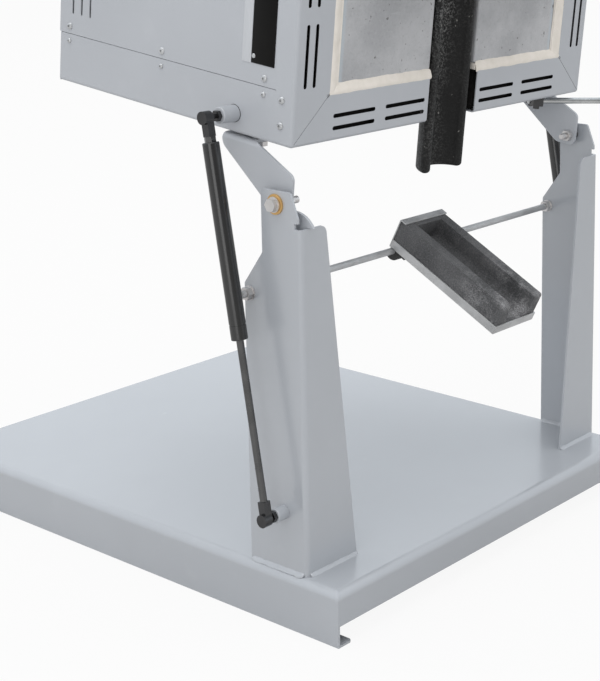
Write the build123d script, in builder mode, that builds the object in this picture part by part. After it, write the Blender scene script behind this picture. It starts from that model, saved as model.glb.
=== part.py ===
"""Tilting melting furnace, standing in its pouring pose.

Frame: millimetres, +Z up, the floor is Z = 0, X = 0 is the middle plane and the furnace pours
towards -Y.  The origin is the middle of the base's footprint, on the floor.

The heated casing has its own directions.  In the pouring pose its hearth face looks forwards:
s runs from that face to the back of the casing, which is its underside when it melts, and
t runs up the casing, from its lower wall, which is its front wall when it melts.
"""
from math import copysign, cos, radians, sin, sqrt
import os

from build123d import *

os.makedirs("parts", exist_ok=True)

# Base tray
base_depth = 705.0
base_height = 62.0
base_sheet = 2.5
base_bend = 10.0
front_skirt = 38.0
lip_width = 21.0
lip_corner = 4.0
bench_hole_radius = 4.5
bench_hole_inset = 52.5

# Uprights, measured from the base's front edge and from the pivot's height
upright_setback = 8.0
upright_sheet = 3.0
upright_bend = 6.0
upright_front = 51.0
upright_foot = 84.5
upright_neck = 57.0
upright_top_front = 15.0
upright_slant_front = 4.5
upright_shelf_drop = 91.5
upright_neck_drop = 54.5
upright_slant_drop = 12.5
upright_top_rise = 14.5
upright_corner = 4.0
flange_drop = 23.5
flange_foot_width = 78.5
flange_top_width = 38.0
flange_corner = 9.0
notch_height = 6.0
notch_depth = 9.0

# Tilt pivot
pivot_setback = 86.5
pivot_radius = 4.0
pivot_bolt_length = 35.0
pivot_head_radius = 8.5
pivot_head_rim = 1.6
bush_radius = 6.0
bush_length = 9.5
bush_flange_radius = 11.0
bush_flange_thickness = 2.0
running_clearance = 0.05
moving_gap = 0.3

# Crossbar for the pouring chute
crossbar_setback = 127.5
crossbar_drop = 101.5
crossbar_radius = 4.0
crossbar_overhang = 13.0

# Hexagon fasteners
m8_flats = 13.0
m8_nut_height = 6.5
m8_head_height = 5.3
m8_washer_radius = 8.0
m8_washer_thickness = 1.6
m8_radius = 4.0
bolt_hole_clearance = 0.2

# Casing
casing_width = 530.0
casing_length = 530.0
casing_height = 376.0
casing_sheet = 1.5
casing_bend = 4.0
pour_lean = 6.42
pivot_behind_face = 5.4
pivot_below_wall = 58.2
frame_rim_side = 54.0
frame_rim_end = 52.0
mitre_gap = 0.4
mitre_relief = 1.2
fit_gap = 0.1
spout_gap_width = 89.0
spout_gap_depth = 44.0
side_seam = 58.0
side_seam_start = 26.0
side_seam_gap = 0.6
side_rear_overlap = 3.0
side_rear_fold = 20.0

# Ventilation slots
slot_length = 67.4
slot_width = 4.5
slot_pitch = 84.7
slot_row_gap = 13.5
end_slot_inset = 14.0
end_slot_shift = 42.35
side_slot_inset = 15.5
vent_width = 3.0
vent_first = 115.2
vent_count = 4
vent_column_pitch = 15.0
vent_column_count = 3
vent_column_inset = 36.0

# Hinge brackets
bracket_inset = 0.5
bracket_sheet = 3.5
bracket_bend = 6.5
bracket_gap = 3.0
bracket_start = 54.0
bracket_rear = 102.0
bracket_flange_width = 40.0
bracket_rear_drop = 12.0
bracket_front = -5.0
bracket_foot = -70.0
bracket_foot_rear = 24.0
bracket_nose_drop = 29.0
bracket_corner = 8.0
bracket_rear_radius = 14.0
bracket_bolt_inset = 18.5
bracket_bolt_inner = 8.0
bracket_bolt_pitch = 26.0
bracket_disc_radius = 9.0
stop_reach = 5.6
stop_sweep_radius = 39.0
stop_sweep_middle = 44.0
stop_sweep_end = 76.0
stop_middle = (-25.8, -66.7)
stop_root = 5.0

# Hearth, crucible and spout
slab_recess = 4.0
slab_thickness = 30.0
slab_side_margin = 15.0
slab_end_margin = 8.0
slab_joint = 0.5
slab_spout_side = 41.0
slab_edge = 1.5
mortar_recess = 2.0
mortar_depth = 18.0
spout_width = 75.0
spout_depth = 33.2
spout_recess = 2.5
spout_wall = 12.5
spout_overhang = 64.0
spout_rim_radius = 5.8
spout_lip_radius = 4.5
crucible_centre = 290.0
crucible_top = 6.0
crucible_height = 230.0
crucible_top_radius = 78.0
crucible_foot_radius = 62.0
crucible_wall = 12.0
crucible_floor = 16.0
crucible_clearance = 2.0
stand_radius = 58.0
chamber_radius = 118.0
chamber_floor = 312.0
heater_count = 10
heater_radius = 9.0
heater_circle_radius = 100.0
heater_top = 50.0
fibre_margin = 5.0
fibre_end_margin = 12.0
spout_bed_gap = 2.0
thermocouple_radius = 4.0
thermocouple_depth = 150.0
thermocouple_clearance = 12.0
thermocouple_stub = 30.0

# Rear terminal box and cable gland
box_width = 220.0
box_height = 200.0
box_depth = 75.0
box_inset = 90.0
box_bend = 3.0
gland_depth = 190.0
gland_rise = 36.0
gland_bore = 6.5
gland_flats = 27.0
gland_hex = 8.0
gland_dome_radius = 11.5
gland_dome = 16.0
gland_tail = 7.0
gland_thread = 9.5

# Rubber feet that the casing melts on
foot_height = 32.1
foot_radius = 16.0
foot_taper = 4.0
foot_screw_radius = 3.0
foot_screw_length = 3.0
foot_spread = 190.0
foot_inset = 60.0

# Casing screws, as distances from the hearth face and from the lower wall
screw_front_inset = 43.6
screw_middle_shift = 14.0
screw_back_inset = 16.0
screw_large = 3.8
screw_small = 2.8
screw_rise = 2.2
screw_above_seam = 8.5
screw_below_seam = 8.5
corner_screw_inset = 17.0
corner_screw_heights = (21.3, 48.5)
top_screw_inset = 18.0

# Gas struts, outside the uprights
strut_clearance = 27.0
strut_stud_depth = 85.0
strut_stud_height = 20.9
strut_foot_setback = 83.7
strut_foot_height = 67.1
spacer_end_radius = 8.0
spacer_root_radius = 9.2
spacer_edge = 0.8
upper_stud_length = 16.5
lower_stud_length = 11.5
ball_radius = 4.0
ball_clearance = 0.3
ball_neck_radius = 2.4
socket_radius = 7.2
socket_length = 10.5
socket_cover = 3.0
socket_mouth_radius = 3.7
stud_flats = 11.0
stud_hex_height = 4.5
shank_width = 9.4
shank_end = 20.0
cylinder_start = 26.0
cylinder_length = 210.0
cylinder_radius = 9.0
cylinder_wall = 1.6
cylinder_cap = 5.0
cylinder_guide = 12.0
cylinder_crimp = 17.0
cylinder_edge = 1.2
crimp_depth = 0.6
rod_radius = 4.0
piston_radius = 7.2
piston_length = 10.0

# Tilt lever
lever_radius = 4.0
lever_drop = 12.0
lever_start = (207.0, 37.0)
lever_angle = -30.0
lever_length = 330.0
lever_edge = 0.8
grip_length = 115.0
grip_radius = 13.0
grip_neck = 4.0
grip_cap = 4.0
clamp_length = 14.0
clamp_width = 26.0
clamp_start = 2.0
clamp_cover = 4.8
clamp_bolt_pitch = 15.0
clamp_bolt_flats = 8.0
clamp_bolt_head = 3.5

# Lid
lid_width = 290.0
lid_end_inset = 26.0
lid_length = 280.0
lid_height = 46.0
lid_gap = 1.0
lid_corner = 8.0
lid_edge = 1.2
knuckle_radius = 6.5
knuckle_length = 18.0
hinge_pin_radius = 3.5
hinge_offset = 70.0
hinge_rise = 11.0
hinge_setback = 14.0
hinge_pin_end = 1.5
hinge_leaf_inset = 3.0
hinge_leaf_length = 21.0
hinge_leaf_sheet = 3.0
handle_radius = 5.0
handle_span = 110.0
handle_rise = 44.0
handle_bend = 14.0
handle_inset = 26.0
handle_grip_radius = 11.0
handle_grip_length = 74.0
handle_grip_edge = 3.0

# Pouring chute, which hangs on the crossbar
chute_offset = -10.0
chute_slope = 27.6
chute_width = 76.2
chute_length = 172.3
chute_sheet = 1.5
chute_side = 10.4
chute_end_height = 38.9
chute_end_lip = 9.6
chute_block_edge = 0.8
chute_block_clearance = 0.1
chute_groove_width = 44.0
chute_groove_floor = 11.0
chute_groove_radius = 10.0
chute_groove_end = 15.0
chute_worn_radius = 9.0
chute_tip_radius = 3.0
chute_bar_inset = 4.6
chute_bar_drop = 4.9
chute_clamp_width = 68.0
chute_clamp_wall = 7.5
chute_clamp_length = 24.0

# Places worked out from the sizes above
casing_half = casing_width / 2
casing_back = casing_height + casing_sheet
bracket_face = casing_half - bracket_inset
upright_inside = bracket_face + bush_length
upright_face = upright_inside + upright_sheet
base_width = 2 * (upright_face + upright_setback)
strut_offset = upright_face + strut_clearance
front_y = -base_depth / 2
base_top = base_height
pivot_height = foot_height + moving_gap + casing_back - pivot_behind_face
upright_top_height = pivot_height + upright_top_rise
upright_slant_height = pivot_height - upright_slant_drop
upright_neck_height = pivot_height - upright_neck_drop
upright_shelf_height = pivot_height - upright_shelf_drop
flange_height = pivot_height - flange_drop
crossbar_height = pivot_height - crossbar_drop
bracket_bolt_rows = (
    bracket_start + bracket_bolt_inner,
    bracket_start + bracket_bolt_inner + bracket_bolt_pitch,
)
upright_front_y = front_y + upright_front
pivot_y = front_y + pivot_setback
pivot_z = base_top + pivot_height
crossbar_y = front_y + crossbar_setback
crossbar_z = base_top + crossbar_height
frame_half = casing_half - frame_rim_side
frame_end = casing_length - frame_rim_end
slab_half = frame_half - slab_side_margin
slab_start = frame_rim_end + slab_end_margin
slab_end = frame_end - slab_end_margin

lean = radians(pour_lean)
casing_up = Vector(0, -sin(lean), cos(lean))
casing_inward = Vector(0, cos(lean), sin(lean))
casing_corner = (
    Vector(0, pivot_y, pivot_z) - casing_inward * pivot_behind_face + casing_up * pivot_below_wall
)
hearth_plane = Plane(casing_corner, x_dir=(1, 0, 0), z_dir=casing_inward * -1)
wall_plane = Plane(casing_corner, x_dir=(1, 0, 0), z_dir=casing_up)
side_plane = Plane(casing_corner, x_dir=casing_inward, z_dir=(1, 0, 0))


def casing_point(x, s, t):
    """A point of the casing: x across, s behind the hearth face, t above the lower wall."""
    return casing_corner + Vector(x, 0, 0) + casing_inward * s + casing_up * t


def hexagon(flats):
    """A hexagon of the given width across flats, in the sketch being built."""
    return RegularPolygon(flats / 2, 6, major_radius=False)


def near(value, target):
    """Whether two positions are the same, within a hundredth of a millimetre."""
    return abs(value - target) < 0.01


def place_in_casing(edge):
    """An edge's middle as x across, Y above the lower wall and -Z behind the hearth face."""
    return hearth_plane.to_local_coords(edge.center())


def runs_back(edge, x, level):
    """Whether an edge runs towards the casing's back, at the given x and height."""
    place = place_in_casing(edge)
    straight = near(abs(edge.tangent_at(0.5).dot(casing_inward)), 1)
    return straight and near(place.X, x) and near(place.Y, level)


def runs_up(edge, x, depth):
    """Whether an edge runs up the casing, at the given x and depth."""
    place = place_in_casing(edge)
    straight = near(abs(edge.tangent_at(0.5).dot(casing_up)), 1)
    return straight and near(place.X, x) and near(-place.Z, depth)


def is_casing_corner(edge):
    """Whether an edge is one of the four long corners of the hearth frame."""
    return any(
        runs_back(edge, x, level)
        for x in (-casing_half, casing_half)
        for level in (0, casing_length)
    )


def is_lower_corner(edge):
    """Whether an edge is a long corner of the lower wall."""
    return runs_back(edge, casing_half, 0) or runs_back(edge, -casing_half, 0)


def is_screw_rim(edge):
    """Whether an edge is the outer rim of a screw head."""
    return near(edge.center().X, casing_half + screw_rise)


pieces = {}


def keep(name, part):
    """Label a finished piece and list it for writing."""
    part.label = name
    pieces[name] = part


# Base: a folded tray with deep sides, shallow ends and bolting lips
with BuildPart() as base_tray:
    Box(base_width, base_depth, base_height, align=(Align.CENTER, Align.CENTER, Align.MIN))
    fillet(edges().group_by(Axis.Z)[-1], base_bend)
    offset(amount=-base_sheet, openings=faces().sort_by(Axis.Z)[0])
    with BuildSketch(Plane.XZ):
        with Locations((0, 0)):
            Rectangle(base_width - 2 * base_sheet, 2 * (base_height - front_skirt))
    extrude(amount=base_depth, both=True, mode=Mode.SUBTRACT)
    with BuildSketch():
        with GridLocations(base_width - lip_width, 0, 2, 1):
            Rectangle(lip_width, base_depth)
        inner_corners = vertices().filter_by(
            lambda v: near(abs(v.X), base_width / 2 - lip_width)
        )
        fillet(inner_corners, lip_corner)
        with GridLocations(base_width - lip_width, base_depth - 2 * bench_hole_inset, 2, 2):
            Circle(bench_hole_radius, mode=Mode.SUBTRACT)
    extrude(amount=base_sheet)
keep("base_tray", base_tray.part)


# Uprights: bent angle sections, wide at the foot and narrow at the pivot
with BuildPart() as left_upright:
    with BuildSketch(Plane.YZ.offset(-upright_face)) as side_plate:
        with BuildLine():
            Polyline(
                (upright_front_y, base_top),
                (upright_front_y + upright_foot, base_top),
                (upright_front_y + upright_foot, base_top + upright_shelf_height),
                (upright_front_y + upright_neck, base_top + upright_neck_height),
                (upright_front_y + upright_neck, base_top + upright_top_height),
                (upright_front_y + upright_top_front, base_top + upright_top_height),
                (upright_front_y + upright_slant_front, base_top + upright_slant_height),
                (upright_front_y + upright_slant_front, base_top + flange_height + notch_height),
                (upright_front_y + notch_depth, base_top + flange_height + notch_height),
                (upright_front_y + notch_depth, base_top + flange_height),
                (upright_front_y, base_top + flange_height),
                close=True,
            )
        make_face()
        upper_corners = vertices().filter_by(
            lambda v: v.Y > base_top + upright_slant_height - moving_gap
            or v.X > upright_front_y + upright_top_front and not near(v.Y, base_top)
        )
        fillet(upper_corners, upright_corner)
        with Locations((pivot_y, pivot_z)):
            Circle(bush_radius, mode=Mode.SUBTRACT)
        with Locations((crossbar_y, crossbar_z)):
            Circle(crossbar_radius + bolt_hole_clearance, mode=Mode.SUBTRACT)
    extrude(amount=upright_sheet)
    with BuildSketch(Plane.XZ.offset(-upright_front_y)):
        with BuildLine():
            Polyline(
                (-upright_face, base_top),
                (-upright_face + flange_foot_width, base_top),
                (-upright_face + flange_top_width, base_top + flange_height),
                (-upright_face, base_top + flange_height),
                close=True,
            )
        make_face()
        fillet(vertices().group_by(Axis.Y)[-1].sort_by(Axis.X)[-1], flange_corner)
    extrude(amount=-upright_sheet)
    outer_bend = edges().filter_by(Axis.Z).filter_by(
        lambda e: near(e.center().X, -upright_face) and near(e.center().Y, upright_front_y)
    )
    fillet(outer_bend, upright_bend)
    inner_bend = edges().filter_by(Axis.Z).filter_by(
        lambda e: near(e.center().X, -upright_inside)
        and near(e.center().Y, upright_front_y + upright_sheet)
    )
    fillet(inner_bend, upright_bend - upright_sheet)
keep("left_upright", left_upright.part)

with BuildPart() as right_upright:
    mirror(left_upright.part, about=Plane.YZ)
keep("right_upright", right_upright.part)


# Crossbar and its nuts, inside and outside each upright
crossbar_half = upright_face + crossbar_overhang
with BuildPart() as crossbar:
    with BuildSketch(Plane.YZ.offset(-crossbar_half)):
        with Locations((crossbar_y, crossbar_z)):
            Circle(crossbar_radius)
    extrude(amount=2 * crossbar_half)
    chamfer(edges().filter_by(GeomType.CIRCLE), 0.8)
keep("crossbar", crossbar.part)

with BuildPart() as crossbar_nuts:
    for face, outward in ((upright_face, 1), (upright_inside, -1)):
        washer_plane = Plane.YZ.offset(face)
        with BuildSketch(washer_plane):
            with Locations((crossbar_y, crossbar_z)):
                Circle(m8_washer_radius)
                Circle(crossbar_radius + running_clearance, mode=Mode.SUBTRACT)
        extrude(amount=outward * m8_washer_thickness)
        with BuildSketch(washer_plane.offset(outward * m8_washer_thickness)):
            with Locations((crossbar_y, crossbar_z)):
                hexagon(m8_flats)
                Circle(crossbar_radius + running_clearance, mode=Mode.SUBTRACT)
        extrude(amount=outward * m8_nut_height)
    mirror(about=Plane.YZ)
keep("crossbar_nuts", crossbar_nuts.part)


# Tilt pivots: a flanged brass bush in each upright, with the bolt turning in it
with BuildPart() as pivot_bushes:
    with BuildSketch(Plane.YZ.offset(upright_face)):
        with Locations((pivot_y, pivot_z)):
            Circle(bush_flange_radius)
    extrude(amount=bush_flange_thickness)
    with BuildSketch(Plane.YZ.offset(upright_face)):
        with Locations((pivot_y, pivot_z)):
            Circle(bush_radius)
    extrude(amount=bracket_face + moving_gap - upright_face)
    with BuildSketch(Plane.YZ.offset(upright_face + bush_flange_thickness)):
        with Locations((pivot_y, pivot_z)):
            Circle(pivot_radius + running_clearance)
    extrude(amount=-bush_flange_thickness - upright_sheet - bush_length, mode=Mode.SUBTRACT)
    mirror(about=Plane.YZ)
keep("pivot_bushes", pivot_bushes.part)

pivot_head_face = upright_face + bush_flange_thickness + moving_gap
with BuildPart() as pivot_bolts:
    with BuildSketch(Plane.YZ.offset(pivot_head_face)):
        with Locations((pivot_y, pivot_z)):
            Circle(pivot_head_radius)
    extrude(amount=pivot_head_rim)
    with BuildSketch(Plane.YZ.offset(pivot_head_face + pivot_head_rim)):
        with Locations((pivot_y, pivot_z)):
            hexagon(m8_flats)
    extrude(amount=m8_head_height)
    with BuildSketch(Plane.YZ.offset(pivot_head_face)):
        with Locations((pivot_y, pivot_z)):
            Circle(pivot_radius)
    extrude(amount=-pivot_bolt_length)
    chamfer(faces().sort_by(Axis.X)[0].edges(), 1.0)
    mirror(about=Plane.YZ)
keep("pivot_bolts", pivot_bolts.part)

bracket_inside = bracket_face - bracket_sheet
with BuildPart() as pivot_nuts:
    with BuildSketch(Plane.YZ.offset(bracket_inside)):
        with Locations((pivot_y, pivot_z)):
            hexagon(m8_flats)
            Circle(pivot_radius + running_clearance, mode=Mode.SUBTRACT)
    extrude(amount=-m8_nut_height)
    mirror(about=Plane.YZ)
keep("pivot_nuts", pivot_nuts.part)


# Hinge brackets: bolted under the lower wall and bent down to the pivots
with BuildPart() as right_hinge_bracket:
    with BuildSketch(side_plane.offset(bracket_inside)):
        with BuildLine():
            Polyline(
                (bracket_start, -bracket_gap),
                (bracket_rear, -bracket_gap),
                (bracket_rear, -bracket_gap - bracket_rear_drop),
                (bracket_foot_rear, bracket_foot),
                (bracket_front, bracket_foot),
                (bracket_front, -bracket_nose_drop),
                close=True,
            )
        make_face()
        fillet(vertices().sort_by(Axis.X)[:2], bracket_corner)
        fillet(vertices().sort_by(Axis.X)[-2:].sort_by(Axis.Y)[0], bracket_rear_radius)
        foot_corner = vertices().filter_by(lambda v: near(v.X, bracket_foot_rear))
        fillet(foot_corner, bracket_rear_radius)
        with Locations((pivot_behind_face, -pivot_below_wall)):
            Circle(pivot_radius + running_clearance, mode=Mode.SUBTRACT)
    extrude(amount=bracket_sheet)
    with BuildSketch(wall_plane.offset(-bracket_gap)):
        with Locations((bracket_face, bracket_rear)):
            Rectangle(
                bracket_flange_width, bracket_rear - bracket_start - bracket_corner / 4,
                align=(Align.MAX, Align.MAX),
            )
        with Locations(*[(bracket_face - bracket_bolt_inset, row) for row in bracket_bolt_rows]):
            Circle(m8_radius + bolt_hole_clearance, mode=Mode.SUBTRACT)
    extrude(amount=-bracket_sheet)
    fillet(edges().filter_by(lambda e: runs_back(e, bracket_face, -bracket_gap)), bracket_bend)
keep("right_hinge_bracket", right_hinge_bracket.part)



def stop_point(across, up):
    """A point of the stop, given from the pivot, in the side plane's directions."""
    place = side_plane.to_local_coords(Vector(0, pivot_y + across, pivot_z + up))
    return (place.X, place.Y)


def stop_sweep(angle):
    """A point on the stop's heel, which swings clear behind the upright's flange."""
    turn = radians(angle)
    return stop_point(-stop_sweep_radius * cos(turn), -stop_sweep_radius * sin(turn))


stop_drop = flange_drop - moving_gap
stop_toe = stop_point(upright_front - stop_reach - pivot_setback, -stop_drop)
stop_heel = stop_point(-sqrt(stop_sweep_radius**2 - stop_drop**2), -stop_drop)
with BuildPart() as left_hinge_bracket:
    mirror(right_hinge_bracket.part, about=Plane.YZ)
    with BuildSketch(side_plane.offset(-bracket_face)):
        with BuildLine():
            Line(stop_heel, stop_toe)
            ThreePointArc(stop_toe, stop_middle, (bracket_front, bracket_foot + stop_root))
            Polyline(
                (bracket_front, bracket_foot + stop_root),
                (bracket_foot_rear / 2, bracket_foot + stop_root),
                (bracket_foot_rear / 2, bracket_foot),
                stop_sweep(stop_sweep_end),
            )
            ThreePointArc(stop_sweep(stop_sweep_end), stop_sweep(stop_sweep_middle), stop_heel)
        make_face()
    extrude(amount=bracket_sheet)
keep("left_hinge_bracket", left_hinge_bracket.part)

with BuildPart() as bracket_bolts:
    bolt_places = [
        (side * (bracket_face - bracket_bolt_inset), row)
        for side in (-1, 1)
        for row in bracket_bolt_rows
    ]
    flange_bottom = bracket_gap + bracket_sheet
    with BuildSketch(wall_plane.offset(-flange_bottom)):
        with Locations(*bolt_places):
            hexagon(m8_flats)
    extrude(amount=-m8_head_height)
    with BuildSketch(wall_plane.offset(-flange_bottom)):
        with Locations(*bolt_places):
            Circle(m8_radius)
    extrude(amount=flange_bottom + casing_sheet + m8_nut_height)
    with BuildSketch(wall_plane.offset(-bracket_gap)):
        with Locations(*bolt_places):
            Circle(bracket_disc_radius)
    extrude(amount=bracket_gap)
    with BuildSketch(wall_plane.offset(casing_sheet)):
        with Locations(*bolt_places):
            hexagon(m8_flats)
    extrude(amount=m8_nut_height)
keep("bracket_bolts", bracket_bolts.part)


# Casing: a mitred hearth frame, a wall wrapped round the sides, side panels, top and bottom
end_slots = [
    (across * (slot_pitch * 1.5 + shift), level)
    for across in (-1, 1)
    for shift in (-end_slot_shift, end_slot_shift)
    for inset in (end_slot_inset, end_slot_inset + slot_row_gap)
    for level in (inset, casing_length - inset)
]
side_slots = [
    (across * (casing_half - inset), casing_length / 2 + slot_pitch * step)
    for across in (-1, 1)
    for inset in (side_slot_inset, side_slot_inset + slot_row_gap)
    for step in range(-2, 3)
]
with BuildPart() as top_frame:
    with BuildSketch(hearth_plane):
        with Locations((0, casing_length / 2)):
            Rectangle(casing_width, casing_length)
    extrude(amount=-side_seam_start)
    fillet(edges().filter_by(lambda e: is_casing_corner(e)), casing_bend)
    front_rim = faces().sort_by(Axis(casing_corner, casing_inward))[0].edges()
    fillet(front_rim, casing_bend)
    offset(amount=-casing_sheet, openings=faces().sort_by(Axis(casing_corner, casing_inward))[-1])
    with BuildSketch(hearth_plane):
        with Locations((0, casing_length / 2)):
            Rectangle(2 * frame_half, frame_end - frame_rim_end)
    extrude(amount=-2 * casing_sheet, mode=Mode.SUBTRACT)
    with BuildSketch(hearth_plane):
        Rectangle(spout_gap_width, 2 * slab_start)
    extrude(amount=-side_seam_start, mode=Mode.SUBTRACT)
    with BuildSketch(hearth_plane):
        with Locations(*end_slots):
            SlotOverall(slot_length, slot_width)
        with Locations(*side_slots):
            SlotOverall(slot_length, slot_width, rotation=90)
        for across in (-1, 1):
            for inner, outer in ((frame_rim_end, 0), (frame_end, casing_length)):
                with BuildLine():
                    Line(
                        (across * frame_half, inner),
                        (across * (casing_half - casing_bend), outer + copysign(casing_bend, inner - outer)),
                    )
                trace(line_width=mitre_gap)
                with Locations((across * frame_half, inner)):
                    Circle(mitre_relief)
    extrude(amount=-2 * casing_sheet, mode=Mode.SUBTRACT)
keep("top_frame", top_frame.part)

panel_inside = casing_half - casing_sheet
wall_depth = casing_height - side_seam_start
with BuildPart() as front_wall:
    wall_start = hearth_plane.offset(-side_seam_start)
    with BuildSketch(wall_start):
        with Locations((0, (side_seam - side_seam_gap) / 2)):
            Rectangle(casing_width, side_seam - side_seam_gap)
    extrude(amount=-wall_depth)
    fillet(edges().filter_by(lambda e: is_lower_corner(e)), casing_bend)
    with BuildSketch(wall_start):
        with Locations((0, casing_sheet)):
            Rectangle(2 * panel_inside, side_seam, align=(Align.CENTER, Align.MIN))
        fillet(vertices().group_by(Axis.Y)[0], casing_bend - casing_sheet)
    extrude(amount=-wall_depth, mode=Mode.SUBTRACT)
    with BuildSketch(wall_plane):
        Rectangle(spout_gap_width, 2 * spout_gap_depth)
        with Locations(*bolt_places):
            Circle(m8_radius + bolt_hole_clearance)
    extrude(amount=casing_sheet, mode=Mode.SUBTRACT)
keep("front_wall", front_wall.part)

with BuildPart() as right_side_panel:
    with BuildSketch(side_plane.offset(casing_half)):
        with Locations((side_seam_start, side_seam)):
            Rectangle(
                casing_height + side_rear_overlap - side_seam_start,
                casing_length - side_seam,
                align=(Align.MIN, Align.MIN),
            )
        vent_step = (casing_length - 2 * vent_first) / (vent_count - 1)
        with Locations((casing_height - vent_column_inset, casing_length / 2)):
            with GridLocations(vent_column_pitch, vent_step, vent_column_count, vent_count):
                SlotOverall(slot_length, vent_width, rotation=90, mode=Mode.SUBTRACT)
    extrude(amount=-casing_sheet)
    with BuildSketch(hearth_plane.offset(-casing_height - side_rear_overlap)):
        with Locations((casing_half, side_seam)):
            Rectangle(
                side_rear_fold, casing_length - side_seam, align=(Align.MAX, Align.MIN)
            )
    extrude(amount=casing_sheet)
    fillet(
        edges().filter_by(lambda e: runs_up(e, casing_half, casing_height + side_rear_overlap)),
        casing_bend / 2,
    )
keep("right_side_panel", right_side_panel.part)

with BuildPart() as left_side_panel:
    mirror(right_side_panel.part, about=Plane.YZ)
keep("left_side_panel", left_side_panel.part)

inner_width = 2 * (panel_inside - fit_gap)
with BuildPart() as back_wall:
    with BuildSketch(hearth_plane.offset(-side_seam_start)):
        with Locations((0, casing_length)):
            Rectangle(inner_width, casing_sheet, align=(Align.CENTER, Align.MAX))
    extrude(amount=-wall_depth)
    with BuildSketch(wall_plane.offset(casing_length)):
        with Locations((0, thermocouple_depth)):
            Circle(thermocouple_radius + bolt_hole_clearance)
    extrude(amount=-casing_sheet, mode=Mode.SUBTRACT)
keep("back_wall", back_wall.part)

with BuildPart() as bottom_plate:
    with BuildSketch(hearth_plane.offset(-casing_height)):
        with Locations((0, casing_length / 2)):
            Rectangle(inner_width, casing_length)
            with GridLocations(2 * foot_spread, casing_length - 2 * foot_inset, 2, 2):
                Circle(foot_screw_radius + bolt_hole_clearance, mode=Mode.SUBTRACT)
    extrude(amount=-casing_sheet)
keep("bottom_plate", bottom_plate.part)

foot_plane = Plane(
    casing_point(0, casing_back, casing_length / 2), x_dir=(1, 0, 0), z_dir=casing_inward
)
with BuildPart() as feet:
    with BuildSketch(foot_plane):
        with GridLocations(2 * foot_spread, casing_length - 2 * foot_inset, 2, 2):
            Circle(foot_radius)
    extrude(amount=foot_height, taper=foot_taper)
    with BuildSketch(foot_plane):
        with GridLocations(2 * foot_spread, casing_length - 2 * foot_inset, 2, 2):
            Circle(foot_screw_radius)
    extrude(amount=-foot_screw_length)
keep("feet", feet.part)


# Hearth: two slabs with a mortar border, the crucible and its pouring spout
def hearth_slab(across):
    """One slab, cut round for the crucible and straight beside the spout."""
    with BuildPart() as slab:
        with BuildSketch(hearth_plane.offset(-slab_recess)):
            with BuildLine():
                Polyline(
                    (across * slab_joint, slab_end),
                    (across * slab_half, slab_end),
                    (across * slab_half, slab_start),
                    (across * slab_spout_side, slab_start),
                    (across * slab_spout_side, crucible_centre),
                    (across * slab_joint, crucible_centre),
                    close=True,
                )
            make_face()
            with Locations((0, crucible_centre)):
                Circle(crucible_top_radius + crucible_clearance, mode=Mode.SUBTRACT)
        extrude(amount=-slab_thickness)
        chamfer(faces().sort_by(Axis(casing_corner, casing_inward))[0].edges(), slab_edge)
    return slab.part


keep("left_slab", hearth_slab(-1))
keep("right_slab", hearth_slab(1))

with BuildPart() as mortar_joint:
    with BuildSketch(hearth_plane.offset(-mortar_recess)):
        with Locations((0, casing_length / 2)):
            Rectangle(2 * (frame_half - fit_gap), frame_end - frame_rim_end - 2 * fit_gap)
            Rectangle(2 * (slab_half + fit_gap), slab_end - slab_start + 2 * fit_gap,
                      mode=Mode.SUBTRACT)
        with Locations((0, 0)):
            Rectangle(2 * slab_spout_side, 2 * slab_start, mode=Mode.SUBTRACT)
    extrude(amount=-mortar_depth)
keep("mortar_joint", mortar_joint.part)

spout_end = crucible_centre - spout_width / 2
spout_centre = spout_recess + spout_depth - spout_width / 2
with BuildPart() as pouring_spout:
    spout_start = wall_plane.offset(-spout_overhang)
    with BuildSketch(spout_start):
        with Locations((0, spout_centre)):
            Circle(spout_width / 2)
            Circle(spout_width / 2 - spout_wall, mode=Mode.SUBTRACT)
        with Locations((0, spout_recess)):
            Rectangle(
                spout_width, spout_width,
                align=(Align.CENTER, Align.MAX), mode=Mode.SUBTRACT,
            )
        fillet(vertices().group_by(Axis.Y)[0], spout_rim_radius)
    extrude(amount=spout_overhang + spout_end)
    with BuildSketch(hearth_plane):
        with Locations((0, crucible_centre)):
            Circle(crucible_top_radius + fit_gap)
    extrude(amount=-casing_height, mode=Mode.SUBTRACT)
    lip_rim = faces().sort_by(Axis(casing_corner, casing_up))[0].edges()
    fillet(lip_rim, spout_lip_radius)
keep("pouring_spout", pouring_spout.part)

crucible_axis = Plane(
    casing_point(0, 0, crucible_centre), x_dir=(1, 0, 0), z_dir=casing_up
)
with BuildPart() as crucible:
    with BuildSketch(crucible_axis):
        with BuildLine():
            Polyline(
                (0, crucible_top + crucible_height),
                (crucible_foot_radius, crucible_top + crucible_height),
                (crucible_top_radius, crucible_top),
                (crucible_top_radius - crucible_wall, crucible_top),
                (crucible_foot_radius - crucible_wall, crucible_top + crucible_height - crucible_floor),
                (0, crucible_top + crucible_height - crucible_floor),
                close=True,
            )
        make_face()
    revolve(axis=Axis(casing_point(0, 0, crucible_centre), casing_inward))
    with BuildSketch(wall_plane.offset(spout_end)):
        with Locations((0, spout_centre)):
            Circle(spout_width / 2 - spout_wall)
    extrude(amount=-crucible_top_radius, mode=Mode.SUBTRACT)
keep("crucible", crucible.part)

crucible_foot = crucible_top + crucible_height
with BuildPart() as crucible_stand:
    with BuildSketch(hearth_plane.offset(-crucible_foot)):
        with Locations((0, crucible_centre)):
            Circle(stand_radius)
    extrude(amount=crucible_foot - chamber_floor)
keep("crucible_stand", crucible_stand.part)

with BuildPart() as heating_elements:
    with BuildSketch(hearth_plane.offset(-heater_top)):
        with Locations((0, crucible_centre)):
            with PolarLocations(heater_circle_radius, heater_count):
                Circle(heater_radius)
    extrude(amount=heater_top - chamber_floor)
keep("heating_elements", heating_elements.part)

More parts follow.
